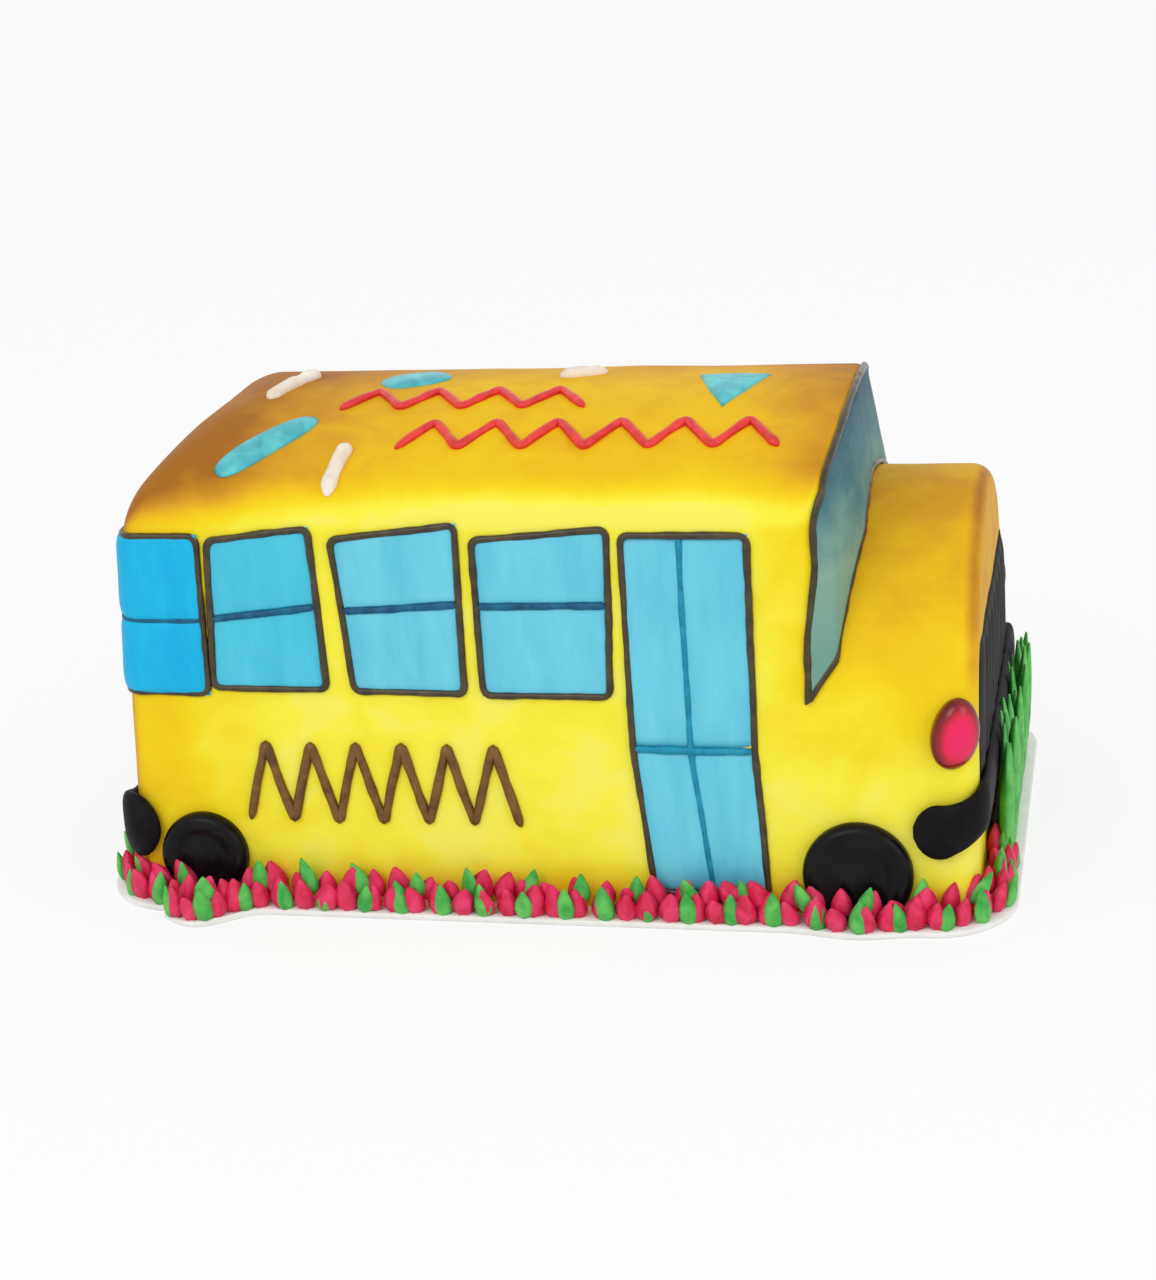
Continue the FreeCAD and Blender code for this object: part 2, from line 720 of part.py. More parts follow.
def window(side, name, left, right):
    span = "dims.%s - dims.%s" % (right, left)
    span_now = size(right) - size(left)
    x = (size(left) + size(right)) / 2
    frame = wall_frame(side, x, MIDDLE)
    outline = new_body(name + "_outline")
    outline.Placement = frame
    piped_loop(outline, (span, span_now), (RISE, RISE_NOW))
    pane = new_body(name + "_lights")
    pane.Placement = frame
    half = "(%s) / 2" % span
    column = (inside("-%s" % half, -span_now / 2, 1), inside(half, span_now / 2, -1))
    lower = (inside("-%s / 2" % RISE, -RISE_NOW / 2, 1), inside(RAIL, RAIL_NOW, -1))
    upper = (inside(RAIL, RAIL_NOW, 1), inside("%s / 2" % RISE, RISE_NOW / 2, -1))
    lights(pane, "light", [column], [lower, upper])
    rail = new_body(name + "_rail")
    rail.Placement = wall_frame(side, x, size("window_rail"))
    piped_bar(rail, "rail", "YZ_Plane", ("0", 0.0), "%s - 2 * (%s)" % (span, EDGE[0]))
    return outline, pane, rail


rails = {"near": [], "far": []}
spans = [("1", "window_1_left", "window_1_right"), ("2", "window_2_left", "window_2_right"),
         ("3", "window_3_left", "window_3_right")]
for side in ("near", "far"):
    for number, left, right in spans:
        outline, pane, rail = window(side, "%s_window_%s" % (side, number), left, right)
        nodes += [outline, pane]
        rails[side].append(rail)
outline, pane, rail = window("far", "far_window_5", "door_left", "door_right")
nodes += [outline, pane]
rails["far"].append(rail)


def compound_feature(label, pieces):
    group = doc.addObject("Part::Compound", label)
    group.Label = label
    group.Links = pieces
    return group


def box_feature(label, low, high):
    """A box between two corners, each coordinate an expression."""
    box = doc.addObject("Part::Box", label)
    for axis, length, near_end, far_end in zip("xyz", ("Length", "Width", "Height"), low, high):
        box.setExpression("Placement.Base." + axis, near_end)
        box.setExpression(length, "(%s) - (%s)" % (far_end, near_end))
    return box


# The fourth windows wrap round the tail corners: a thin skin of the cabin cut by corner boxes


def skin_feature(label, depth):
    outset = ("-dims.%s" % depth, -size(depth))
    grown = cabin_solid(label + "_form", outset)
    round_tail(grown, outset)
    return cut_feature(label, grown, cabin_cake)


def corner_box(side, label, margin, bottom, top):
    """A block round one tail corner between two named heights, each with what is added to it.

    The margin draws the block's ends in from the middle of the piped line.
    """
    wrap = "dims.window_4_wrap + (%s)" % margin
    outer = "dims.base_width / 2 + dims.tool_reach"
    low_y, high_y = ("-(%s)" % outer, "-(%s)" % wrap) if side == "near" else (wrap, outer)
    low = ("-dims.tail - dims.tool_reach", low_y, "dims.%s + (%s)" % bottom)
    high = ("dims.window_4_right - (%s)" % margin, high_y, "dims.%s + (%s)" % top)
    return box_feature(label, low, high)


lights_skin = skin_feature("lights_skin", "pane_thick")
piping_skin = skin_feature("piping_skin", "bead")


def wrapped_window(side):
    name = "%s_window_4" % side
    edge = EDGE[0]
    edge_off = "-(%s)" % edge
    bead = "dims.bead"
    bead_off = "-dims.bead"
    below = corner_box(side, name + "_below", edge, ("window_sill", edge), ("window_rail", edge_off))
    above = corner_box(side, name + "_above", edge, ("window_rail", edge), ("window_head", edge_off))
    both = compound_feature(name + "_openings", [below, above])
    pane = common_feature(name + "_lights", lights_skin, both)
    outer = corner_box(side, name + "_outer", bead_off, ("window_sill", bead_off), ("window_head", bead))
    inner = corner_box(side, name + "_inner", bead, ("window_sill", bead), ("window_head", bead_off))
    ring = cut_feature(name + "_ring", outer, inner)
    outline = common_feature(name + "_outline", piping_skin, ring)
    band = corner_box(side, name + "_band", edge, ("window_rail", bead_off), ("window_rail", bead))
    rail = common_feature(name + "_rail", piping_skin, band)
    return outline, pane, rail


for side in ("near", "far"):
    outline, pane, rail = wrapped_window(side)
    nodes += [outline, pane]
    rails[side].append(rail)
    nodes.append(compound_feature("%s_window_rails" % side, rails[side]))

# The door: two leaves of two lights each, with a piped line between the leaves

DOOR_SPAN = "(dims.door_right - dims.door_left)"
DOOR_SPAN_NOW = size("door_right") - size("door_left")
DOOR_RISE = "(dims.window_head - dims.door_sill) / cos(dims.wall_lean)"
DOOR_RISE_NOW = (size("window_head") - size("door_sill")) / math.cos(LEAN)
DOOR_X = (size("door_left") + size("door_right")) / 2
DOOR_Z = (size("window_head") + size("door_sill")) / 2
DOOR_RAIL = "(dims.door_rail - (dims.window_head + dims.door_sill) / 2) / cos(dims.wall_lean)"
DOOR_RAIL_NOW = (size("door_rail") - DOOR_Z) / math.cos(LEAN)

door_outline = new_body("door_outline")
door_outline.Placement = wall_frame("near", DOOR_X, DOOR_Z)
piped_loop(door_outline, (DOOR_SPAN, DOOR_SPAN_NOW), (DOOR_RISE, DOOR_RISE_NOW))
piped_bar(door_outline, "middle_line", "XZ_Plane", ("0", 0.0), DOOR_RISE)

door_lights = new_body("door_lights")
door_lights.Placement = wall_frame("near", DOOR_X, DOOR_Z)
rear_leaf = (inside("-%s / 2" % DOOR_SPAN, -DOOR_SPAN_NOW / 2, 1), inside("0", 0.0, -1))
front_leaf = (inside("0", 0.0, 1), inside("%s / 2" % DOOR_SPAN, DOOR_SPAN_NOW / 2, -1))
lower = (inside("-%s / 2" % DOOR_RISE, -DOOR_RISE_NOW / 2, 1), inside(DOOR_RAIL, DOOR_RAIL_NOW, -1))
upper = (inside(DOOR_RAIL, DOOR_RAIL_NOW, 1), inside("%s / 2" % DOOR_RISE, DOOR_RISE_NOW / 2, -1))
lights(door_lights, "light", [rear_leaf, front_leaf], [lower, upper])

door_bars = []
for leaf, shift in (("rear", -0.25), ("front", 0.25)):
    bar = new_body("door_rail_" + leaf)
    bar.Placement = wall_frame("near", DOOR_X + shift * DOOR_SPAN_NOW, size("door_rail"))
    piped_bar(bar, "rail", "YZ_Plane", ("0", 0.0), "%s / 2 - 2 * (%s)" % (DOOR_SPAN, EDGE[0]))
    door_bars.append(bar)
nodes += [door_outline, door_lights, compound_feature("door_rails", door_bars)]

# The tail hatch: a piped outline with one light in its upper half, above the rear bumper

HATCH_RISE = "(dims.hatch_head - dims.hatch_sill) / cos(dims.tail_lean)"
HATCH_RISE_NOW = (size("hatch_head") - size("hatch_sill")) / math.cos(RAKE)
HATCH_Z = (size("hatch_head") + size("hatch_sill")) / 2

hatch_outline = new_body("tail_hatch_outline")
hatch_outline.Placement = tail_frame(HATCH_Z)
piped_loop(hatch_outline, ("dims.hatch_width", size("hatch_width")), (HATCH_RISE, HATCH_RISE_NOW))
hatch_light = new_body("tail_hatch_light")
hatch_light.Placement = tail_frame(HATCH_Z)
LIGHT_SILL = "(dims.hatch_light_sill - (dims.hatch_head + dims.hatch_sill) / 2) / cos(dims.tail_lean)"
LIGHT_SILL_NOW = (size("hatch_light_sill") - HATCH_Z) / math.cos(RAKE)
half_hatch = size("hatch_width") / 2
# the hatch's light keeps three edge allowances from its outline
rear = inside("-dims.hatch_width / 2", -half_hatch, 1, 3)
front = inside("dims.hatch_width / 2", half_hatch, -1, 3)
head = inside("%s / 2" % HATCH_RISE, HATCH_RISE_NOW / 2, -1, 3)
lights(hatch_light, "light", [(rear, front)], [((LIGHT_SILL, LIGHT_SILL_NOW), head)])
nodes += [hatch_outline, hatch_light]

# The windscreen: a bowed pane between the roof and the hood, with a piped line round it

SCREEN_BACK = "(dims.cab_front - 2 * dims.cab_bow)"


def screen_prism(label, margin):
    """A block along X whose section is the screen's outline; margin is set in from roof and hood."""
    wall = wall_trace(margin[1])
    over = HOOD_RADIUS + margin[1]
    turn = LEAN + math.acos((HOOD_RADIUS - margin[1]) / over)
    tip = (over * math.cos(turn), HOOD_CENTRE + over * math.sin(turn))
    body = new_body(label)
    sketch = new_sketch(body, "screen", "YZ_Plane", SCREEN_BACK)
    roof_lines(sketch, tip, (-tip[0], tip[1]), margin)
    sketch.addGeometry([arc((0, HOOD_CENTRE), over, turn, math.pi - turn)])
    sketch.addConstraint([
        SC("Coincident", 5, 1, 0, 1),
        SC("Coincident", 5, 2, 4, 2),
        SC("PointOnObject", 5, 3, -2),
    ])
    wall_term = "dims.base_width / 2 * cos(dims.wall_lean) - (%s)" % margin[0]
    drive(sketch, SC("Distance", -1, 1, 0, wall), wall_term)
    drive(sketch, SC("Radius", 5, over), "%s + %s" % (HOOD_RADIUS_TERM, margin[0]))
    drive(sketch, SC("DistanceY", -1, 1, 5, 3, HOOD_CENTRE), "dims.hood_crown - " + HOOD_RADIUS_TERM)
    pad_feature(body, "depth", sketch, "3 * dims.cab_bow")
    return body


def bow_drum(label, outset):
    """The upright drum whose skin is the cabin's bowed front."""
    drum = doc.addObject("Part::Cylinder", label)
    drum.setExpression("Radius", "%s + %s" % (CAB_RADIUS_TERM, outset))
    drum.setExpression("Height", "dims.roof_crown")
    drum.setExpression("Placement.Base.x", "dims.cab_front - " + CAB_RADIUS_TERM)
    return drum


bow_core = bow_drum("bow_core", "0")
pane_coat = cut_feature("pane_coat", bow_drum("pane_drum", "dims.pane_thick"), bow_core)
line_coat = cut_feature("line_coat", bow_drum("line_drum", "dims.bead"), bow_core)
MARGIN = size("screen_margin")
line_outer = screen_prism("line_outer", ("(dims.screen_margin - dims.bead)", MARGIN - size("bead")))
line_inner = screen_prism("line_inner", ("(dims.screen_margin + dims.bead)", MARGIN + size("bead")))
pane_outer = screen_prism("pane_outer", ("(dims.screen_margin + %s)" % EDGE[0], MARGIN + EDGE[1]))
screen_line = cut_feature("screen_line", line_outer, line_inner)
nodes += [
    common_feature("windscreen_outline", line_coat, screen_line),
    common_feature("windscreen_pane", pane_coat, pane_outer),
]

# Wheels: iced discs on the side walls, cut flat where they stand on the card

below_card = box_feature(
    "below_card",
    ("-dims.tail - dims.card_end_reach", "-dims.base_width", "-dims.base_width"),
    ("dims.nose + dims.card_end_reach", "dims.base_width", "dims.card_thick"),
)


def wheel(side, place):
    name = "%s_%s_wheel" % (side, place)
    radius = size(place + "_wheel_radius")
    depth = size("wheel_depth")
    edge = size("wheel_edge")
    disc = new_body(name + "_disc")
    disc.Placement = wall_frame(side, size(place + "_wheel_x"), size(place + "_wheel_z"))
    sketch = new_sketch(disc, "half_disc", "XZ_Plane")
    closed_lines(sketch, [(0, 0), (radius, 0), (radius, depth - edge), (radius - edge, depth), (0, depth)])
    sketch.addConstraint([
        SC("Coincident", 0, 1, -1, 1),
        SC("Horizontal", 0),
        SC("Vertical", 1),
        SC("Horizontal", 3),
        SC("Vertical", 4),
    ])
    drive(sketch, SC("DistanceX", -1, 1, 0, 2, radius), "dims.%s_wheel_radius" % place)
    drive(sketch, SC("DistanceY", -1, 1, 3, 2, depth), "dims.wheel_depth")
    drive(sketch, SC("DistanceX", 3, 1, 1, 1, edge), "dims.wheel_edge")
    drive(sketch, SC("DistanceY", 1, 2, 3, 1, edge), "dims.wheel_edge")
    turned = disc.newObject("PartDesign::Revolution", "disc")
    turned.Profile = sketch
    turned.ReferenceAxis = (sketch, ["V_Axis"])
    turned.Angle = 360
    return cut_feature(name, disc, below_card)


for side in ("near", "far"):
    nodes.append(compound_feature(side + "_wheels", [wheel(side, "rear"), wheel(side, "front")]))

# Bumpers: bevelled bands round the ends, cut to fit the iced forms


def bumper(label, tip, corner, form):
    """The end stretch of a bevelled ring round the cake, less the iced form."""
    height = label + "_z"
    end = label + "_end"
    ring = new_body(label + "_ring")
    sketch = new_sketch(ring, "plan", "XY_Plane", "dims.%s - dims.bumper_height / 2" % height)
    half_term = "(dims.base_width / 2 + dims.bumper_depth - dims.%s * tan(dims.wall_lean))" % height
    half = HALF_WIDTH + size("bumper_depth") - size(height) * math.tan(LEAN)
    radius = size(corner) + size("bumper_depth")
    rounded_rectangle(
        sketch,
        ("2 * " + tip[0], 2 * tip[1]),
        ("2 * " + half_term, 2 * half),
        ("dims.%s + dims.bumper_depth" % corner, radius),
    )
    block = pad_feature(ring, "band", sketch, "dims.bumper_height")
    doc.recompute()
    level_edges = edges_where(block.Shape, lambda edge: edge.BoundBox.ZLength < 0.01)
    chamfer_feature(ring, "bevel", block, level_edges, "dims.bumper_edge")
    wide = "dims.base_width"
    if size(end) > 0:
        low, high = ("dims." + end, "-" + wide, "0"), (tip[0], wide, "dims.roof_crown")
    else:
        low, high = ("-" + tip[0], "-" + wide, "0"), ("dims." + end, wide, "dims.roof_crown")
    band = common_feature(label + "_band", ring, box_feature(label + "_reach", low, high))
    return cut_feature(label, band, form)


tail_tip = (
    "(dims.tail + dims.bumper_depth - dims.rear_bumper_z * tan(dims.tail_lean))",
    size("tail") + size("bumper_depth") - size("rear_bumper_z") * math.tan(RAKE),
)
nose_tip = ("(dims.nose + dims.bumper_depth)", size("nose") + size("bumper_depth"))
nodes += [
    bumper("front_bumper", nose_tip, "nose_rounding", hood_form),
    bumper("rear_bumper", tail_tip, "tail_rounding", cabin_cake),
]

# The grille: a panel on the flat of the nose with upright slots

grille = new_body("grille")
sketch = new_sketch(grille, "panel", "YZ_Plane", "dims.nose")
levels = ("sill", "shoulder", "head")
right = [(size("grille_%s_half" % level), size("grille_" + level)) for level in levels]
closed_lines(sketch, right + [(-y, z) for y, z in reversed(right)])
sketch.addConstraint([
    SC("Symmetric", 0, 1, 4, 2, -2),
    SC("Symmetric", 0, 2, 3, 2, -2),
    SC("Symmetric", 2, 1, 2, 2, -2),
])
for index, level in enumerate(levels):
    half, height = right[index]
    drive(sketch, SC("DistanceX", -1, 1, index, 1, half), "dims.grille_%s_half" % level)
    drive(sketch, SC("DistanceY", -1, 1, index, 1, height), "dims.grille_" + level)
panel = pad_feature(grille, "face", sketch, "dims.grille_depth")
slot_sketch = new_sketch(grille, "slot", "YZ_Plane", "dims.nose + dims.grille_depth")
slot_left = -size("slot_span") / 2 - size("slot_width") / 2
rectangle(
    slot_sketch,
    ("-(dims.slot_span + dims.slot_width) / 2", slot_left),
    ("-(dims.slot_span - dims.slot_width) / 2", slot_left + size("slot_width")),
    ("dims.grille_sill + dims.slot_margin", size("grille_sill") + size("slot_margin")),
    ("dims.grille_head - dims.slot_margin", size("grille_head") - size("slot_margin")),
)
slot = grille.newObject("PartDesign::Pocket", "slot_cut")
slot.Profile = slot_sketch
slot.setExpression("Length", "dims.slot_depth")
slots = grille.newObject("PartDesign::LinearPattern", "slots")
slots.Originals = [slot]
slots.Direction = (slot_sketch, ["H_Axis"])
slots.Occurrences = int(size("slot_count"))
slots.setExpression("Length", "dims.slot_span")
slots.setExpression("Occurrences", "dims.slot_count")
grille.Tip = slots
nodes.append(grille)

# Lamps: long ovals with a bevelled rim, on the hood's front corners and on the tail


def on_front(edge):
    """Whether an edge lies on the front face of a lamp's oval."""
    return all(abs(corner.Z - size("lamp_stand")) < 0.01 for corner in edge.Vertexes)


def lamp(label, placement, form):
    half_w = size("lamp_half_width")
    straight = size("lamp_half_height") - half_w
    body = new_body(label + "_oval")
    body.Placement = placement
    sketch = new_sketch(body, "oval", "XY_Plane")
    sketch.addGeometry([
        line((half_w, -straight), (half_w, straight)),
        arc((0, straight), half_w, 0, math.pi),
        line((-half_w, straight), (-half_w, -straight)),
        arc((0, -straight), half_w, math.pi, 2 * math.pi),
    ])
    sketch.addConstraint([SC("Tangent", i, 2, (i + 1) % 4, 1) for i in range(4)])
    sketch.addConstraint([
        SC("PointOnObject", 1, 3, -2),
        SC("Symmetric", 1, 3, 3, 3, -1, 1),
        SC("Vertical", 0),
    ])
    drive(sketch, SC("Radius", 1, half_w), "dims.lamp_half_width")
    drive(sketch, SC("DistanceY", -1, 1, 1, 3, straight), "dims.lamp_half_height - dims.lamp_half_width")
    pad = pad_feature(body, "thickness", sketch, "2 * dims.lamp_stand", True)
    doc.recompute()
    rim = edges_where(pad.Shape, on_front)
    chamfer_feature(body, "rim", pad, rim, "dims.lamp_edge")
    return cut_feature(label, body, form)


def hood_half_width(height):
    """Half the hood's width at a height, on its leaning wall or on the arch above it."""
    if height < HOOD_CENTRE + HOOD_RADIUS * math.sin(LEAN):
        return HALF_WIDTH - height * math.tan(LEAN)
    return math.sqrt(HOOD_RADIUS ** 2 - (height - HOOD_CENTRE) ** 2)


LAMP_TURN = math.radians(size("lamp_turn"))
front_pair = []
tail_pair = []
for side, sign in (("near", -1), ("far", 1)):
    rounding = size("nose_rounding")
    centre_y = hood_half_width(size("lamp_z")) - rounding
    spot = vec(
        size("nose") - rounding + rounding * math.sin(LAMP_TURN),
        sign * (centre_y + rounding * math.cos(LAMP_TURN)),
        size("lamp_z"),
    )
    outward = vec(math.sin(LAMP_TURN), sign * math.cos(LAMP_TURN))
    along = vec(math.cos(LAMP_TURN), -sign * math.sin(LAMP_TURN))
    place = frame_on(spot, along * -sign, outward)
    front_pair.append(lamp(side + "_front_lamp", place, hood_form))
    place = tail_frame(size("lamp_z"))
    place.Base = place.Base + vec(0, sign * size("tail_lamp_y"))
    tail_pair.append(lamp(side + "_tail_lamp", place, cabin_cake))
nodes.append(compound_feature("lamps", front_pair + tail_pair))

# The card under the cake, widened beside the rear wheels for the border's bulge

cake_card = new_body("cake_card")
card_sketch = new_sketch(cake_card, "card", "XY_Plane")
CARD_HALF = HALF_WIDTH + size("card_reach")
CARD_END = size("nose") + size("card_end_reach")
rounded_rectangle(
    card_sketch,
    ("dims.tail + dims.nose + 2 * dims.card_end_reach", 2 * CARD_END),
    ("dims.base_width + 2 * dims.card_reach", 2 * CARD_HALF),
    ("dims.card_corner", size("card_corner")),
)
pad_feature(cake_card, "board", card_sketch, "dims.card_thick")
ear_sketch = new_sketch(cake_card, "ears", "XY_Plane")
middle_x = size("rear_wheel_x")
EAR_HALF = CARD_HALF + size("rear_bulge")
right_ear = [(middle_x + size("bulge_length"), CARD_HALF), (middle_x + size("bulge_flat"), EAR_HALF)]
left_ear = [(2 * middle_x - x, y) for x, y in reversed(right_ear)]
far_ears = right_ear + left_ear
closed_lines(ear_sketch, far_ears + [(x, -y) for x, y in reversed(far_ears)])
ear_sketch.addConstraint([
    SC("Symmetric", 0, 1, 7, 1, -1),
    SC("Symmetric", 1, 1, 6, 1, -1),
    SC("Symmetric", 2, 1, 5, 1, -1),
    SC("Symmetric", 3, 1, 4, 1, -1),
    SC("Horizontal", 1),
    SC("Horizontal", 0, 1, 3, 1),
])
half_term = "dims.base_width / 2 + dims.card_reach"
drive(ear_sketch, SC("DistanceY", -1, 1, 0, 1, CARD_HALF), half_term)
drive(ear_sketch, SC("DistanceY", -1, 1, 1, 1, EAR_HALF), half_term + " + dims.rear_bulge")
ear_places = ("+ dims.bulge_length", "+ dims.bulge_flat", "- dims.bulge_flat", "- dims.bulge_length")
for index, place in enumerate(ear_places):
    behind = SC("DistanceX", index, 1, -1, 1, -far_ears[index][0])
    drive(ear_sketch, behind, "-(dims.rear_wheel_x %s)" % place)
pad_feature(cake_card, "bulge_board", ear_sketch, "dims.card_thick")
nodes.append(cake_card)

# The border: pointed leaves of icing standing on the card round the foot


def foot_loop(offset, corner):
    """Point and outward direction at a distance along a rounded rectangle round the foot."""
    half_x = size("nose") + offset
    half_y = HALF_WIDTH + offset
    runs = [(2 * (half_x - corner), 0), (2 * (half_y - corner), 90),
            (2 * (half_x - corner), 180), (2 * (half_y - corner), 270)]
    starts = [(corner - half_x, -half_y), (half_x, corner - half_y),
              (half_x - corner, half_y), (-half_x, half_y - corner)]
    bend = corner * math.pi / 2
    length = sum(run for run, turn in runs) + 4 * bend

    def at(distance):
        for (run, degrees), start in zip(runs, starts):
            turn = math.radians(degrees)
            ahead = vec(math.cos(turn), math.sin(turn))
            out = vec(math.sin(turn), -math.cos(turn))
            if distance < run:
                return vec(*start) + ahead * distance, out
            distance -= run
            if distance < bend:
                centre = vec(*start) + ahead * run - out * corner
                swing = distance / corner
                out = out * math.cos(swing) + ahead * math.sin(swing)
                return centre + out * corner, out
            distance -= bend
        return vec(*starts[0]), vec(0, -1)

    return at, length


def bulge(x):
    """How far the border swings out to pass round the wheels."""
    swing = 0.0
    for place in ("front", "rear"):
        share = (x - size(place + "_wheel_x")) / size("bulge_length")
        if abs(share) < 1:
            swing += size(place + "_bulge") * (1 + math.cos(math.pi * share)) / 2
    return swing


def leaf(point, out, width, depth, height, sway):
    """A solid from a small root over a wide belly to a point, with four flat flanks at each stage."""
    ahead = vec(-out.y, out.x)
    rings = []
    for level, share in ((0, 0.6), (0.4, 1)):
        middle = point + vec(0, 0, level * height) + ahead * (level * sway)
        across = ahead * (share * width / 2)
        through = out * (share * depth / 2)
        rings.append([middle + across, middle + through, middle - across, middle - through])
    root, belly = rings
    tip = point + vec(0, 0, height) + ahead * sway
    outlines = [root]
    for i in range(4):
        j = (i + 1) % 4
        outlines += [[root[i], root[j], belly[j], belly[i]], [belly[i], belly[j], tip]]
    faces = [Part.Face(Part.makePolygon(outline + outline[:1])) for outline in outlines]
    return Part.Solid(Part.Shell(faces))


def leaf_row(seat, pitch, measures, wanted, corner):
    """Leaves along the loop at a seat distance, where the test on a point allows one."""
    at, length = foot_loop(seat, corner)
    count = int(length / pitch)
    leaves = []
    for index in range(count):
        point, out = at((index + 0.5) * length / count)
        if not wanted(point, out):
            continue
        if abs(out.y) > 0.99:
            point = point + out * bulge(point.x)
        point.z = FLOOR
        sway = size("leaf_sway") * (1 if index % 2 else -1)
        leaves.append(leaf(point, out, *measures, sway))
    return leaves


def border(label, leaves):
    group = doc.addObject("Part::Feature", label)
    group.Label = label
    group.Shape = Part.makeCompound(leaves)
    nodes.append(group)


def beside_wall(point, out):
    """On a long side, clear of the rounded ends and of the wheels."""
    wheels = [(size(place + "_wheel_x"), size(place + "_wheel_radius")) for place in ("front", "rear")]
    clear = all(abs(point.x - x) > radius + size("green_leaf_width") for x, radius in wheels)
    inside_ends = -size("tail") + size("tail_rounding") < point.x < size("nose") - size("nose_rounding")
    return clear and inside_ends and abs(point.y) > HALF_WIDTH


def before_nose(point, out):
    """Along the nose, from a start near its door side."""
    return out.x > 0.99 and point.y > size("end_leaf_start")


LOOP_CORNER = size("card_corner")
red = leaf_row(
    size("leaf_seat"), size("leaf_pitch"),
    (size("leaf_width"), size("leaf_depth"), size("leaf_height")),
    lambda point, out: not before_nose(point, out), LOOP_CORNER,
)
side_green = leaf_row(
    size("green_leaf_seat"), size("green_leaf_pitch"),
    (size("green_leaf_width"), size("green_leaf_depth"), size("green_leaf_height")),
    beside_wall, LOOP_CORNER,
)
end_green = leaf_row(
    size("end_leaf_seat"), size("leaf_pitch"),
    (size("green_leaf_width"), size("green_leaf_depth"), size("end_leaf_height")),
    before_nose, LOOP_CORNER,
)
border("border_red_leaves", red)
border("border_green_leaves", side_green + end_green)

# Decorations: a zigzag of icing on each side, two zigzag rows on the roof, sticks and outlines


def zigzag(count, pitch, height, line_width):
    """The outline of a zigzag band centred on the origin."""
    half = count * pitch / 2
    tall = height / 2 - line_width
    upper = []
    lower = []
    for step in range(2 * count + 1):
        x = step * pitch / 2 - half
        y = tall if step % 2 else -tall
        upper.append((x, y + line_width))
        lower.append((x, y - line_width))
    return upper + lower[::-1]


def zigzag_prism(label, name, count, height, thick, placement):
    body = new_body(label)
    body.Placement = placement
    sketch = new_sketch(body, "band", "XY_Plane")
    corners = zigzag(int(size(count)), size(name + "_pitch"), height, size(name + "_line"))
    closed_lines(sketch, corners)
    sketch.addConstraint([SC("Block", index) for index in range(len(corners))])
    pad_feature(body, "band_depth", sketch, thick)
    return body


for side in ("near", "far"):
    frame = wall_frame(side, size("wave_x"), size("wave_z"))
    height = size("wave_height")
    nodes.append(zigzag_prism(side + "_zigzag", "wave", "wave_count", height, "dims.bead", frame))

rows = []
for name in ("long", "short"):
    place = FreeCAD.Placement(vec(size(name + "_scroll_x"), size(name + "_scroll_y")), FreeCAD.Rotation())
    row = zigzag_prism(name + "_scroll_prism", "scroll", name + "_scroll_count",
                       size(name + "_scroll_height"), "dims.roof_crown + dims.tool_reach", place)
    rows.append(common_feature(name + "_scroll", piping_skin, row))
nodes.append(compound_feature("roof_zigzags", rows))


def roof_height(y):
    """Height of the iced roof at a distance from its middle."""
    eave, roof, eave_at, roof_at, turn = roof_arcs(0.0)
    if abs(y) < roof * math.cos(turn):
        return roof_at[1] + math.sqrt(roof ** 2 - y ** 2)
    return eave_at[1] + math.sqrt(eave ** 2 - (abs(y) - eave_at[0]) ** 2)


def roof_spot(name):
    """A point on the roof, from its two named sizes."""
    return vec(size(name + "x"), size(name + "y"), roof_height(size(name + "y")))


sticks = []
for number in (1, 2, 3):
    tail_end = roof_spot("stick_%d_" % number)
    head_end = roof_spot("stick_%d_end_" % number)
    stick = doc.addObject("Part::Cylinder", "stick_%d" % number)
    stick.setExpression("Radius", "dims.chalk_radius")
    stick.Height = (head_end - tail_end).Length
    stick.Placement = FreeCAD.Placement(tail_end, FreeCAD.Rotation(vec(0, 0, 1), head_end - tail_end))
    sticks.append(cut_feature("chalk_stick_%d" % number, stick, cabin_cake))
nodes.append(compound_feature("chalk_sticks", sticks))


def upright_block(label, name, share):
    """A block under one dash on the roof; share is how many line widths its sides are drawn in."""
    length = size(name + "_length") - 2 * share * size("shape_line")
    width = size(name + "_width") - 2 * share * size("shape_line")
    block = doc.addObject("Part::Box", label)
    block.setExpression("Length", "dims.%s_length - 2 * %d * dims.shape_line" % (name, share))
    block.setExpression("Width", "dims.%s_width - 2 * %d * dims.shape_line" % (name, share))
    block.setExpression("Height", "dims.roof_crown + dims.tool_reach")
    turn = FreeCAD.Rotation(vec(0, 0, 1), size(name + "_turn"))
    corner = turn.multVec(vec(-length / 2, -width / 2))
    block.Placement = FreeCAD.Placement(vec(size(name + "_x"), size(name + "_y")) + corner, turn)
    return block


def upright_wedge(label, share):
    """A three-sided block under the wedge on the roof, its point to the near side."""
    wedge = doc.addObject("Part::Prism", label)
    wedge.Polygon = 3
    wedge.setExpression("Circumradius", "dims.wedge_reach - 2 * %d * dims.shape_line" % share)
    wedge.setExpression("Height", "dims.roof_crown + dims.tool_reach")
    middle = vec(size("wedge_x"), size("wedge_y"))
    wedge.Placement = FreeCAD.Placement(middle, FreeCAD.Rotation(vec(0, 0, 1), -90))
    return wedge


shapes = []
for name in ("dash_1", "dash_2"):
    outer = upright_block(name + "_outer", name, 0)
    inner = upright_block(name + "_inner", name, 1)
    shapes.append(common_feature(name, piping_skin, cut_feature(name + "_ring", outer, inner)))
ring = cut_feature("wedge_ring", upright_wedge("wedge_outer", 0), upright_wedge("wedge_inner", 1))
shapes.append(common_feature("wedge", piping_skin, ring))
nodes.append(compound_feature("roof_outlines", shapes))

# Every feature has to stand and every piece has to be a sound solid before anything is written

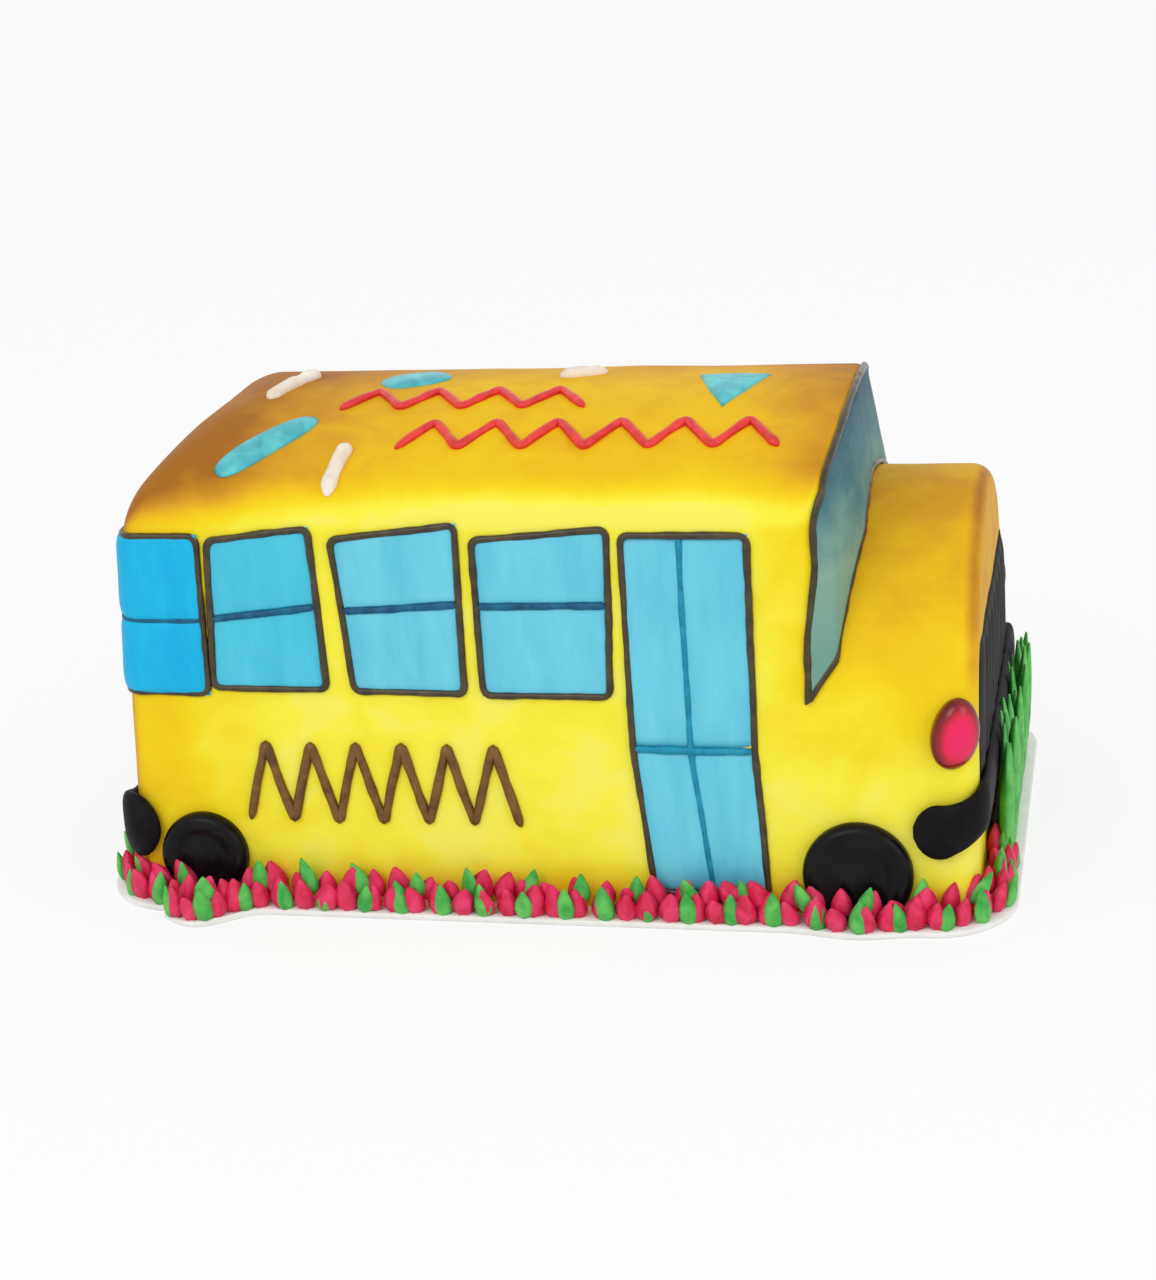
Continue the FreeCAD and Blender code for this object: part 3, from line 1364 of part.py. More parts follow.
doc.recompute()
for thing in doc.Objects:
    if "Invalid" in thing.State or "Error" in thing.State:
        raise RuntimeError("%s failed: %s" % (thing.Label, thing.getStatusString()))
for thing in nodes:
    shape = thing.Shape
    if shape.isNull():
        raise RuntimeError("%s has no shape" % thing.Label)
    for solid in shape.Solids:
        if not solid.isValid() or solid.Volume <= 0:
            raise RuntimeError("%s holds an unsound solid" % thing.Label)
    if not shape.isValid() or not shape.Solids:
        raise RuntimeError("%s isn't a sound solid" % thing.Label)
os.makedirs("parts", exist_ok=True)
for thing in nodes:
    thing.Shape.exportStep("parts/%s.step" % thing.Label)
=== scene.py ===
from math import acos, asin, atan2, copysign, cos, dist, exp, pi, radians, sin, sqrt, tan

import bmesh
import bpy
from mathutils import Matrix, Vector
from mathutils.noise import noise


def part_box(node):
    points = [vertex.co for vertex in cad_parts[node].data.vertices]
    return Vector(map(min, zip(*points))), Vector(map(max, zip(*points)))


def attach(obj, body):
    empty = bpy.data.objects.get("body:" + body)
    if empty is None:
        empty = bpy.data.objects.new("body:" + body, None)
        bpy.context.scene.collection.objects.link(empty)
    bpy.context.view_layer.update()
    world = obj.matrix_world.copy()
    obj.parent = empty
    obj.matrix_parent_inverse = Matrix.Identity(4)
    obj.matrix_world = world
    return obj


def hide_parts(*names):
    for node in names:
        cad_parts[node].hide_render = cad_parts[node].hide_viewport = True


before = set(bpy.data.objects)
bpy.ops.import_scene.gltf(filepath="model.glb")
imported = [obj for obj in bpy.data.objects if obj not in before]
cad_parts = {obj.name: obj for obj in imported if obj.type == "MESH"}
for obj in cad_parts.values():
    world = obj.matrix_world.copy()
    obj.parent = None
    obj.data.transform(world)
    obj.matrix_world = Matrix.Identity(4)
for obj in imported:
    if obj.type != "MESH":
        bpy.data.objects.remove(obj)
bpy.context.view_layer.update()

# A cake iced as a bus: +X to the hood, the door on the near side (-Y), the card on z = 0.
# Millimetres, until a mesh is made.

MM = 0.001
FORWARD = Vector((1, 0, 0))
UPWARD = Vector((0, 0, 1))

# Sizes of the cake, as the solids have them

CARD_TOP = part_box("cake_card")[1][2] / MM
TAIL = 165
NOSE = 165
CAB_FRONT = 116
CAB_BOW = 14
HALF_WIDTH = 90
LEAN = radians(4)
ROOF_CROWN = 183.7
ROOF_RADIUS = 150
ROOF_CENTRE = ROOF_CROWN - ROOF_RADIUS
EAVE_RADIUS = 24
TAIL_LEAN = radians(3)
TAIL_ROUNDING = 8
TAIL_BEND = TAIL_ROUNDING * pi / 2
REAR_ROOF_RADIUS = 46
REAR_ROOF_Z = ROOF_CROWN + 0.5 - REAR_ROOF_RADIUS
REAR_ROOF_X = REAR_ROOF_RADIUS / cos(TAIL_LEAN) + REAR_ROOF_Z * tan(TAIL_LEAN) - TAIL
BROW_ROUNDING = 3.2
HOOD_CROWN = 145.5
NOSE_ROUNDING = 8
HOOD_RADIUS = (HALF_WIDTH * cos(LEAN) - HOOD_CROWN * sin(LEAN)) / (1 - sin(LEAN))
HOOD_CENTRE = HOOD_CROWN - HOOD_RADIUS
WINDOW_SILL = 86.5
WINDOW_RAIL = 118.6
WINDOW_HEAD = 147.5
WINDOWS = {1: (-18.6, 32.6), 2: (-72.8, -22.8), 3: (-122.2, -76.8)}
CORNER_WINDOW_FRONT = -126.2
CORNER_WINDOW_WRAP = 58
DOOR = (40.6, 87.4)
DOOR_SILL = 9
DOOR_RAIL = 64
HATCH_HALF = 24
HATCH_SILL = 52
HATCH_HEAD = 131
HATCH_LIGHT_SILL = 89
LINE_RADIUS = 1.4
WHEELS = [(-133.5, 19.5, 17.5), (121, 19, 20.5)]

# The cabin's front, which leans forward over the hood and is rounded back at its corners

SCREEN_LEAN = radians(9.5)
SCREEN_REACH = 8
CORNER_START = 0.925
CORNER_SLOPE = 0.15
CORNER_DROP = 11

# The waves that a palette knife leaves in the icing

ROUGH_SIZE = 45
ROUGH_DEPTH = 0.5


# Shader nodes


def tint(colour):
    """A picture's colour, from 0 to 255, as the linear values of a material."""
    shares = [value / 255 for value in colour]
    linear = [s / 12.92 if s <= 0.04045 else ((s + 0.055) / 1.055) ** 2.4 for s in shares]
    return (*linear, 1.0)


def feed(tree, node, inputs):
    """Set each input to its value, or link it to the output given."""
    for key, value in inputs.items():
        if isinstance(value, bpy.types.NodeSocket):
            tree.links.new(value, node.inputs[key])
        else:
            node.inputs[key].default_value = value


def add_node(tree, kind, inputs=None, **settings):
    node = tree.nodes.new(kind)
    for key, value in settings.items():
        setattr(node, key, value)
    feed(tree, node, inputs or {})
    return node


def calculate(tree, operation, *terms, clamp=False):
    node = add_node(tree, "ShaderNodeMath", operation=operation, use_clamp=clamp)
    feed(tree, node, dict(enumerate(terms)))
    return node.outputs[0]


def new_group(name, kind, inputs, outputs):
    """A node group with named sockets, and the outputs of its input node."""
    group = bpy.data.node_groups.new(name, kind)
    for side, sockets in (("INPUT", inputs), ("OUTPUT", outputs)):
        for label, socket in sockets.items():
            group.interface.new_socket(label, in_out=side, socket_type="NodeSocket" + socket)
    return group, group.nodes.new("NodeGroupInput").outputs


def build_grain():
    """Fine bubbles and slow waves of icing, as a height and a mask."""
    inputs = {"Fine Scale": "Float", "Wave Scale": "Float", "Fine Share": "Float"}
    outputs = {"Height": "Float", "Mottle": "Float"}
    group, given = new_group("icing_grain", "ShaderNodeTree", inputs, outputs)
    place = add_node(group, "ShaderNodeTexCoord").outputs["Object"]
    fine = add_node(group, "ShaderNodeTexNoise", {
        "Vector": place, "Scale": given["Fine Scale"], "Detail": 4.0, "Roughness": 0.6,
    }).outputs["Fac"]
    waves = add_node(group, "ShaderNodeTexNoise", {
        "Vector": place, "Scale": given["Wave Scale"], "Detail": 3.0, "Roughness": 0.5, "Distortion": 0.6,
    }).outputs["Fac"]
    height = calculate(group, "MULTIPLY_ADD", fine, given["Fine Share"], waves)
    add_node(group, "NodeGroupOutput", {"Height": height, "Mottle": waves})
    return group


def build_strokes():
    """Long brush strokes along one direction, as a height and a mask."""
    inputs = {"Stretch": "Vector", "Contrast": "Float"}
    outputs = {"Height": "Float", "Streak": "Float"}
    group, given = new_group("brush_strokes", "ShaderNodeTree", inputs, outputs)
    place = add_node(group, "ShaderNodeTexCoord").outputs["Object"]
    stretched = add_node(group, "ShaderNodeVectorMath", {0: place, 1: given["Stretch"]}, operation="MULTIPLY")
    streaks = add_node(group, "ShaderNodeTexNoise", {
        "Vector": stretched.outputs[0], "Scale": 1.0, "Detail": 5.0, "Roughness": 0.62,
    }).outputs["Fac"]
    centred = calculate(group, "SUBTRACT", streaks, 0.5)
    spread = calculate(group, "MULTIPLY_ADD", centred, given["Contrast"], 0.5, clamp=True)
    add_node(group, "NodeGroupOutput", {"Height": streaks, "Streak": spread})
    return group


GRAIN = build_grain()
STROKES = build_strokes()


def grained(tree, fine, wave, share):
    values = {"Fine Scale": fine, "Wave Scale": wave, "Fine Share": share}
    return add_node(tree, "ShaderNodeGroup", values, node_tree=GRAIN).outputs


def brushed(tree, stretch, contrast):
    values = {"Stretch": stretch, "Contrast": contrast}
    return add_node(tree, "ShaderNodeGroup", values, node_tree=STROKES).outputs


# Materials


def new_material(name, roughness, coat=0.0, coat_roughness=0.2, shine=0.3):
    material = bpy.data.materials.new(name)
    material.use_nodes = True
    tree = material.node_tree
    feed(tree, tree.nodes["Principled BSDF"], {
        "Roughness": roughness, "Specular IOR Level": shine,
        "Coat Weight": coat, "Coat Roughness": coat_roughness,
    })
    return material, tree


def varied(tree, level, *changes):
    """A level that masks move up and down, each by half of its width at most."""
    for mask, width in changes:
        level = calculate(tree, "MULTIPLY_ADD", mask, width, level)
    return calculate(tree, "SUBTRACT", level, sum(width for mask, width in changes) / 2, clamp=True)


def lay_icing(tree, level, stops, height, strength, depth):
    """Colour the icing by a level on a ramp, and raise it by a height."""
    ramp = add_node(tree, "ShaderNodeValToRGB", {"Fac": level})
    marks = ramp.color_ramp.elements
    marks[1].position, marks[1].color = stops[-1][0], tint(stops[-1][1])
    marks[0].position, marks[0].color = stops[0][0], tint(stops[0][1])
    for position, colour in stops[1:-1]:
        marks.new(position).color = tint(colour)
    bump = add_node(tree, "ShaderNodeBump", {"Height": height, "Strength": strength, "Distance": depth * MM})
    shader = tree.nodes["Principled BSDF"]
    feed(tree, shader, {"Base Color": ramp.outputs["Color"], "Normal": bump.outputs["Normal"]})


def make_yellow_icing():
    """Lemon yellow that painted shade turns gold and orange."""
    material, tree = new_material("yellow_icing", 0.55, shine=0.1)
    # The level of painted shade that the cabin and hood skins carry at each point.
    shade_level = add_node(tree, "ShaderNodeAttribute", attribute_name="airbrush").outputs["Fac"]
    grain = grained(tree, 700.0, 38.0, 0.2)
    strokes = brushed(tree, (26.0, 26.0, 110.0), 1.2)
    level = varied(tree, shade_level, (grain["Mottle"], 0.42), (strokes["Streak"], 0.12))
    # From the lemon yellow of the lit sides to the gold and orange of the painted shade.
    stops = [(0.0, (247, 239, 92)), (0.06, (248, 238, 66)), (0.28, (246, 216, 28)),
             (0.52, (240, 192, 24)), (0.76, (214, 152, 34)), (1.0, (168, 106, 30))]
    lay_icing(tree, level, stops, grain["Height"], 0.35, 1.2)
    return material


def brushed_icing(name, pale, deep, shine=0.5, coat=0.15):
    """Blue icing laid on with a brush."""
    material, tree = new_material(name, 0.48, coat=coat, coat_roughness=0.4, shine=shine)
    strokes = brushed(tree, (90.0, 90.0, 22.0), 1.6)
    lay_icing(tree, strokes["Streak"], [(0.0, deep), (1.0, pale)], strokes["Height"], 0.5, 0.8)
    return material


def make_screen_icing():
    """Grey-green icing, with painted shade that darkens it to teal under the roof."""
    material, tree = new_material("windscreen_icing", 0.5, shine=0.12)
    place = add_node(tree, "ShaderNodeTexCoord").outputs["Object"]
    height = add_node(tree, "ShaderNodeSeparateXYZ", {"Vector": place}).outputs["Z"]
    # Painted shade: darker with height, under the roof.
    rise = add_node(tree, "ShaderNodeMapRange", {"Value": height, "From Min": 0.1, "From Max": 0.18})
    strokes = brushed(tree, (40.0, 40.0, 60.0), 1.6)
    level = varied(tree, rise.outputs["Result"], (strokes["Streak"], 0.36))
    stops = [(0.0, (114, 162, 148)), (0.4, (134, 172, 156)), (0.7, (78, 128, 136)), (1.0, (16, 76, 98))]
    lay_icing(tree, level, stops, strokes["Height"], 0.5, 0.8)
    return material


def mottled_icing(name, dark, light, roughness, coat=0.2, wave=120.0, bump=0.4, shine=0.3):
    """Icing of one colour with lighter and darker clouds."""
    material, tree = new_material(name, roughness, coat=coat, coat_roughness=0.25, shine=shine)
    grain = grained(tree, 600.0, wave, 0.3)
    lay_icing(tree, grain["Mottle"], [(0.3, dark), (0.7, light)], grain["Height"], bump, 0.6)
    return material


def make_lamp_gel():
    """Pink gel that darkens to red at the rim."""
    material, tree = new_material("lamp_gel", 0.25, coat=0.35, coat_roughness=0.08, shine=0.2)
    rim = add_node(tree, "ShaderNodeAttribute", attribute_name="rim").outputs["Fac"]
    grain = grained(tree, 500.0, 160.0, 0.2)
    level = varied(tree, rim, (grain["Mottle"], 0.3))
    stops = [(0.0, (238, 24, 96)), (0.4, (228, 24, 76)), (0.7, (176, 24, 44)), (1.0, (110, 16, 28))]
    lay_icing(tree, level, stops, grain["Height"], 0.2, 0.5)
    return material


YELLOW = make_yellow_icing()
WINDOW_BLUE = brushed_icing("window_icing", (112, 212, 232), (74, 186, 216))
THIRD_BLUE = brushed_icing("third_window_icing", (84, 206, 230), (50, 180, 214), 0.3, 0.1)
CORNER_BLUE = brushed_icing("corner_window_icing", (36, 194, 234), (6, 166, 222), 0.15, 0.0)
SCREEN_BLUE = make_screen_icing()
BROWN = mottled_icing("brown_piping", (36, 26, 14), (74, 60, 26), 0.4, 0.4, 180.0)
MOTIF_BROWN = mottled_icing("brown_motif", (86, 54, 14), (128, 88, 30), 0.4, wave=180.0)
DEEP_BLUE = mottled_icing("deep_blue_lines", (4, 66, 104), (14, 104, 142), 0.5, 0.0, 180.0)
DOOR_BLUE = mottled_icing("door_blue_lines", (8, 118, 154), (24, 150, 182), 0.5, 0.0, 180.0)
BLACK = mottled_icing("black_icing", (8, 7, 9), (20, 16, 20), 0.3, 0.1, 90.0, bump=0.5, shine=0.1)
DULL_BLACK = mottled_icing("dull_black_icing", (14, 12, 15), (30, 26, 30), 0.55, 0.0, 90.0, shine=0.09)
GEL = make_lamp_gel()
RED_LEAF = mottled_icing("red_leaf_icing", (206, 16, 60), (246, 62, 116), 0.5, 0.1, 140.0)
GREEN_LEAF = mottled_icing("green_leaf_icing", (44, 158, 60), (108, 206, 96), 0.5, 0.1, 140.0)
SCROLL_RED = mottled_icing("red_piping", (206, 26, 30), (240, 60, 52), 0.4, 0.4, 160.0)
TURQUOISE = mottled_icing("turquoise_icing", (52, 164, 180), (96, 208, 212), 0.45, 0.3)
WHITE = mottled_icing("white_icing", (232, 214, 190), (250, 246, 236), 0.5)
CARD = mottled_icing("cake_card_paper", (236, 236, 232), (246, 246, 243), 0.6, 0.3, bump=0.1)


# Pieces


def place_object(name, data):
    thing = bpy.data.objects.new(name, data)
    bpy.context.scene.collection.objects.link(thing)
    return thing


def shade_smooth(mesh):
    mesh.polygons.foreach_set("use_smooth", [True] * len(mesh.polygons))


def mesh_piece(name, form, material):
    """A piece from a form: points and faces."""
    mesh = bpy.data.meshes.new(name)
    mesh.from_pydata([Vector(point) * MM for point in form[0]], [], form[1])
    mesh.validate()
    mesh.materials.append(material)
    shade_smooth(mesh)
    return place_object(name, mesh)


def face_outwards(piece):
    """Merge doubles and turn the faces of a closed piece outwards."""
    work = bmesh.new()
    work.from_mesh(piece.data)
    bmesh.ops.remove_doubles(work, verts=work.verts, dist=1e-6)
    bmesh.ops.recalc_face_normals(work, faces=work.faces)
    work.to_mesh(piece.data)
    work.free()
    shade_smooth(piece.data)


def store(piece, label, values):
    """Give each point of a piece a value that its material reads."""
    piece.data.attributes.new(label, "FLOAT", "POINT").data.foreach_set("value", values)


def carry(piece, slot, *nodes):
    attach(piece, "root")
    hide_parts(*nodes)


def closed_piece(name, form, material, slot, *nodes):
    piece = mesh_piece(name, form, material)
    face_outwards(piece)
    carry(piece, slot, *nodes)


def sheet_piece(name, form, material, out, thickness, slot, node):
    """A piece from sheets that face outwards, with its thickness behind them."""
    piece = mesh_piece(name, form, material)
    piece.data.update()
    if piece.data.polygons[len(piece.data.polygons) // 2].normal.dot(out) < 0:
        piece.data.flip_normals()
    depth = piece.modifiers.new("depth", "SOLIDIFY")
    depth.thickness = thickness * MM
    depth.offset = -1
    carry(piece, slot, node)


# Points and faces


def between(start, end, share):
    return start + (end - start) * share


def circle(count):
    """The turns at which the points of a round ring stand."""
    return [2 * pi * step / count for step in range(count)]


def squared(value, power):
    """A sine or cosine bent so that a ring turns squarer with a power below 1."""
    return copysign(abs(value) ** power, value)


def smooth_step(low, high, value):
    share = min(1.0, max(0.0, (value - low) / (high - low)))
    return share * share * (3 - 2 * share)


def arc_points(centre, radius, start, end, count):
    turns = [between(start, end, i / count) for i in range(count + 1)]
    return [(centre[0] + radius * cos(turn), centre[1] + radius * sin(turn)) for turn in turns]


def run_points(start, end, count):
    """Points from a start towards an end, without the end itself."""
    start, end = Vector(start), Vector(end)
    return [tuple(between(start, end, i / count)) for i in range(count)]


def mirrored(half):
    """The other half of an outline, after the middle point."""
    return [(-y, z) for y, z in reversed(half[:-1])]


def joined(forms):
    vertices, faces = [], []
    for points, parts in forms:
        base = len(vertices)
        vertices += points
        faces += [tuple(base + index for index in part) for part in parts]
    return vertices, faces


def ring_quads(levels, count, closed=False):
    """Quads between rings of points, and from the last to the first if closed."""
    faces = []
    for level in range(levels if closed else levels - 1):
        low, high = level * count, (level + 1) % levels * count
        for step in range(count):
            after = (step + 1) % count
            faces.append((low + step, low + after, high + after, high + step))
    return faces


def stitch_rings(rings):
    """A closed form from rings of points, with a fan at both ends."""
    count = len(rings[0])
    vertices = [point for ring in rings for point in ring]
    faces = ring_quads(len(rings), count)
    for level, flip in ((0, True), (len(rings) - 1, False)):
        middle = Vector((0, 0, 0))
        for point in rings[level]:
            middle += Vector(point) / count
        hub = len(vertices)
        vertices.append(tuple(middle))
        for step in range(count):
            here, after = level * count + step, level * count + (step + 1) % count
            faces.append((hub, here, after) if flip else (hub, after, here))
    return vertices, faces


def ringed(levels, count, spot):
    """A closed form with a round ring for each level."""
    return stitch_rings([[spot(*level, turn) for turn in circle(count)] for level in levels])


def sheet(columns, rows, spot):
    """A form of quads in a grid."""
    vertices = [spot(column, row) for row in range(rows + 1) for column in range(columns + 1)]
    faces = []
    for row in range(rows):
        for column in range(columns):
            low = row * (columns + 1) + column
            faces.append((low, low + 1, low + columns + 2, low + columns + 1))
    return vertices, faces


# The iced cabin and hood


def wall_half(z):
    return HALF_WIDTH - z * tan(LEAN)


def wall_foot(inset):
    return wall_half(CARD_TOP) - inset / cos(LEAN), CARD_TOP


def roof_arcs(inset):
    """Eave radius, roof radius, centre of the far eave and the turn at which the arcs meet."""
    eave = EAVE_RADIUS - inset
    roof = ROOF_RADIUS - inset
    reach = (HALF_WIDTH * cos(LEAN) - inset - eave) / cos(LEAN)
    slope = tan(LEAN)
    a = 1 + slope ** 2
    b = -2 * (reach * slope + ROOF_CENTRE)
    c = reach ** 2 + ROOF_CENTRE ** 2 - (roof - eave) ** 2
    eave_z = (-b + sqrt(b * b - 4 * a * c)) / (2 * a)
    eave_y = reach - eave_z * slope
    return eave, roof, (eave_y, eave_z), atan2(eave_z - ROOF_CENTRE, eave_y)


def roof_half(foot, inset, counts):
    """(y, z) points from a foot up the far wall and over the eave to the crown."""
    eave, roof, eave_at, turn = roof_arcs(inset)
    spring = (eave_at[0] + eave * cos(LEAN), eave_at[1] + eave * sin(LEAN))
    half = run_points(foot, spring, counts[0]) + arc_points(eave_at, eave, LEAN, turn, counts[1])[:-1]
    return half + arc_points((0, ROOF_CENTRE), roof, turn, pi / 2, counts[2])


def closed_outline(half):
    """Both halves of an outline and the floor."""
    foot = half[0][0]
    return half + mirrored(half) + run_points((-foot, CARD_TOP), (foot, CARD_TOP), 24)[1:]


def cabin_outline(inset):
    return closed_outline(roof_half(wall_foot(inset), inset, (30, 12, 18)))


def hood_outline(inset):
    radius = HOOD_RADIUS - inset
    spring = (radius * cos(LEAN), HOOD_CENTRE + radius * sin(LEAN))
    half = run_points(wall_foot(inset), spring, 18)
    return closed_outline(half + arc_points((0, HOOD_CENTRE), radius, LEAN, pi / 2, 30))


def bow_x(y):
    """The foremost x of the cabin's bowed front."""
    radius = (HALF_WIDTH ** 2 + CAB_BOW ** 2) / (2 * CAB_BOW)
    return CAB_FRONT - radius + sqrt(radius ** 2 - y ** 2)


def cab_x(y, z):
    """The cabin's front: bowed, leaning over the hood, rounded back to the walls."""
    drop = max(0.0, ROOF_CROWN - z)
    forward = min(SCREEN_REACH, drop * tan(SCREEN_LEAN)) * min(1.0, 0.6 + abs(y) / 100)
    edge = abs(y) / wall_half(z)
    corner = min(1.2, max(0.0, (edge - CORNER_START) / (1 - CORNER_START)) ** 1.2)
    return bow_x(y) + forward - min(CORNER_DROP, drop * CORNER_SLOPE) * corner


def tail_x(z):
    """The tail: a leaning plane that turns over into the roof by one wide arc."""
    rise = z - REAR_ROOF_Z
    if rise <= REAR_ROOF_RADIUS * sin(TAIL_LEAN):
        return -TAIL + z * tan(TAIL_LEAN)
    return REAR_ROOF_X - sqrt(max(0.0, REAR_ROOF_RADIUS ** 2 - rise ** 2))


def tail_out(z):
    rise = min(REAR_ROOF_RADIUS, max(0.0, z - REAR_ROOF_Z))
    turn = max(TAIL_LEAN, asin(rise / REAR_ROOF_RADIUS))
    return Vector((-cos(turn), 0, sin(turn)))


# In the rings below, place gives x at (y, z) on an end face, as cab_x does


def tail_place(y, z):
    return tail_x(z)


def nose_place(y, z):
    return NOSE


def shifted(place, offset):
    return lambda y, z: place(y, z) + offset


def ring_at(place, outline):
    return [(place(y, z), y, z) for y, z in outline]


def cap_rings(outline, place, shares):
    """Rings on an end face, towards its middle."""
    middle = (max(z for y, z in outline) + CARD_TOP) / 2
    return [ring_at(place, [(y * share, between(middle, z, share)) for y, z in outline]) for share in shares]


def even_shares(count):
    return [1 - level / count for level in range(1, count)]


def rounded_rings(outline_at, place, sign, radius, steps):
    """Rings round the rim of an end face; sign is the way it faces."""
    rings = []
    for step in range(steps + 1):
        turn = pi / 2 * step / steps
        back = radius * (1 - sin(turn))
        rings.append(ring_at(shifted(place, -sign * back), outline_at(radius * (1 - cos(turn)))))
    return rings


def long_rings(outline, start, end, count):
    """Rings between two end faces."""
    shares = [step / count for step in range(1, count)]
    return [[(between(start(y, z), end(y, z), share), y, z) for y, z in outline] for share in shares]


def wall_darkening(place):
    """Darker at the foot of the walls, a painted shade where the leaf border meets them, and darker towards
    the tail and before the door.
    """
    # Painted shade at the foot, where the leaves meet the wall.
    foot = 1 - smooth_step(4, 26, place.z)
    rear = smooth_step(90, 165, -place.x)
    front = smooth_step(70, 122, place.x) * smooth_step(40, 92, place.z)
    return 0.05 + foot * 0.14 + rear * 0.4 + front * 0.26


def cabin_painted_shade(place, normal):
    """Painted shade: more where the skin faces up, towards the crown, its ends and the far side, and on faces
    that turn back; a painted highlight keeps the eaves paler.
    """
    # Painted shade where the skin faces up.
    top = smooth_step(0.3, 1.02, normal.z) * 0.46
    slope = smooth_step(0.08, 0.55, normal.z)
    rear = smooth_step(20, 142, -place.x)
    # A painted highlight that keeps the eaves paler.
    eave = smooth_step(0.1, 0.22, normal.z) * (1 - smooth_step(0.4, 0.75, normal.z)) * 0.14 * (1 - rear)
    far = smooth_step(-20, 50, place.y) * 0.24
    brow = smooth_step(60, 116, place.x) * 0.1
    # Painted shade on faces that turn back, away from the light.
    behind = smooth_step(0.3, 0.9, -normal.x) * 0.3
    return min(1.0, wall_darkening(place) - eave + top + slope * (rear * 0.4 + brow + far) + behind)


def hood_painted_shade(place, normal):
    """Painted shade: more over the crown, where the skin faces up, and most round the nose, where it faces
    forward.
    """
    # Painted shade on the crown and on the nose's forward-facing rim.
    top = smooth_step(0.15, 1.0, normal.z) * 0.34
    nose = smooth_step(0.2, 0.8, normal.x) * 0.4 * smooth_step(60, 110, place.z)
    return min(1.0, wall_darkening(place) + top + nose)


def iced_form(name, rings, shade_level, node):
    """A yellow form whose skin goes in and out a little above the card, and carries painted shade."""
    piece = mesh_piece(name, stitch_rings(rings), YELLOW)
    face_outwards(piece)
    for vertex in piece.data.vertices:
        place = vertex.co / MM
        if place.z > CARD_TOP + 1.5:
            wave = noise(place / ROUGH_SIZE) + 0.4 * noise(place / ROUGH_SIZE * 3.1)
            vertex.co += vertex.normal * (ROUGH_DEPTH * MM * (wave - 0.7))
    # Each point's level of painted shade, from its place and the way it faces.
    store(piece, "airbrush", [shade_level(vertex.co / MM, vertex.normal) for vertex in piece.data.vertices])
    carry(piece, "yellow_icing", node)


def make_cabin():
    front = cap_rings(cabin_outline(BROW_ROUNDING), cab_x,
                      [0.985, 0.97, 0.955, 0.94, 0.92, 0.88, 0.8, 0.65, 0.45, 0.2])
    brow = rounded_rings(cabin_outline, cab_x, 1, BROW_ROUNDING, 5)
    middle = long_rings(cabin_outline(0), shifted(cab_x, -BROW_ROUNDING),
                        shifted(tail_place, TAIL_ROUNDING), 70)
    rump = rounded_rings(cabin_outline, tail_place, -1, TAIL_ROUNDING, 8)
    back = cap_rings(cabin_outline(TAIL_ROUNDING), tail_place, even_shares(22))
    iced_form("cabin_icing", front[::-1] + brow[::-1] + middle + rump + back, cabin_painted_shade, "cabin_cake")


def make_hood():
    """The hood starts inside the cabin, so that the walls run on as one."""
    sunk = [(1.2, 10), (0.7, 6), (0.2, 1.8), (0.0, 0.0)]
    start = [ring_at(shifted(cab_x, -BROW_ROUNDING - back), hood_outline(inset)) for inset, back in sunk]
    middle = long_rings(hood_outline(0), shifted(cab_x, -BROW_ROUNDING),
                        shifted(nose_place, -NOSE_ROUNDING), 16)
    nose = rounded_rings(hood_outline, nose_place, 1, NOSE_ROUNDING, 9)
    face = cap_rings(hood_outline(NOSE_ROUNDING), nose_place, even_shares(6))
    iced_form("hood_icing", start + middle + nose + face, hood_painted_shade, "hood_cake")


# Places on the iced skin: each surface gives a point and the direction out of it


def side_wall(side):
    """The long wall, where a is x, and on round the corner to the tail."""
    sign = -1 if side == "near" else 1

    def at(a, z):
        half = wall_half(z)
        corner_x = tail_x(z) + TAIL_ROUNDING
        along = corner_x - a
        inward = along - TAIL_BEND
        if along <= 0:
            return Vector((a, sign * half, z)), Vector((0, sign * cos(LEAN), sin(LEAN)))
        if inward >= 0:
            return Vector((tail_x(z), sign * (half - TAIL_ROUNDING - inward), z)), tail_out(z)
        turn = along / TAIL_ROUNDING
        out = tail_out(z) * sin(turn) + Vector((0, sign * cos(turn), sin(LEAN)))
        x = corner_x - TAIL_ROUNDING * sin(turn)
        y = sign * (half - TAIL_ROUNDING + TAIL_ROUNDING * cos(turn))
        return Vector((x, y, z)), out.normalized()

    return at


def tail_wall(a, z):
    """The tail face, where a is y."""
    return Vector((tail_x(z), a, z)), tail_out(z)


def cab_face(a, z):
    """The cabin's front face, where a is y."""
    step = 0.5
    across = (cab_x(a + step, z) - cab_x(a - step, z)) / (2 * step)
    up = (cab_x(a, z + step) - cab_x(a, z - step)) / (2 * step)
    return Vector((cab_x(a, z), a, z)), Vector((1, -across, -up)).normalized()


def roof_skin(x, y):
    """The roof seen from above."""
    eave, roof, eave_at, turn = roof_arcs(0)
    if abs(y) < roof * cos(turn):
        centre, radius = Vector((x, 0, ROOF_CENTRE)), roof
    else:
        centre, radius = Vector((x, copysign(eave_at[0], y), eave_at[1])), eave
    rise = sqrt(max(0.0, radius ** 2 - (y - centre.y) ** 2))
    point = Vector((x, y, centre.z + rise))
    return point, (point - centre).normalized()


# Iced patches and piped lines laid on a surface

PATCH_THICKNESS = 1.1
LINE_STEP = 1.2
LINE_WOBBLE = 0.3
LINE_SIDES = 10
FRAME_CORNER = 3.2


def patch(surface, left, right, bottom, top):
    """A pillowed rectangle with its edges sunk in the skin."""
    columns, rows = 20, 16

    def spot(column, row):
        u, v = column / columns, row / rows
        point, out = surface(between(left, right, u), between(bottom, top, v))
        edge = (1 - (2 * u - 1) ** 8) * (1 - (2 * v - 1) ** 8)
        ripple = 0.18 * noise(point / 9)
        return point + out * (PATCH_THICKNESS * (edge * (1 + ripple) * 1.3 - 0.3))

    return sheet(columns, rows, spot)


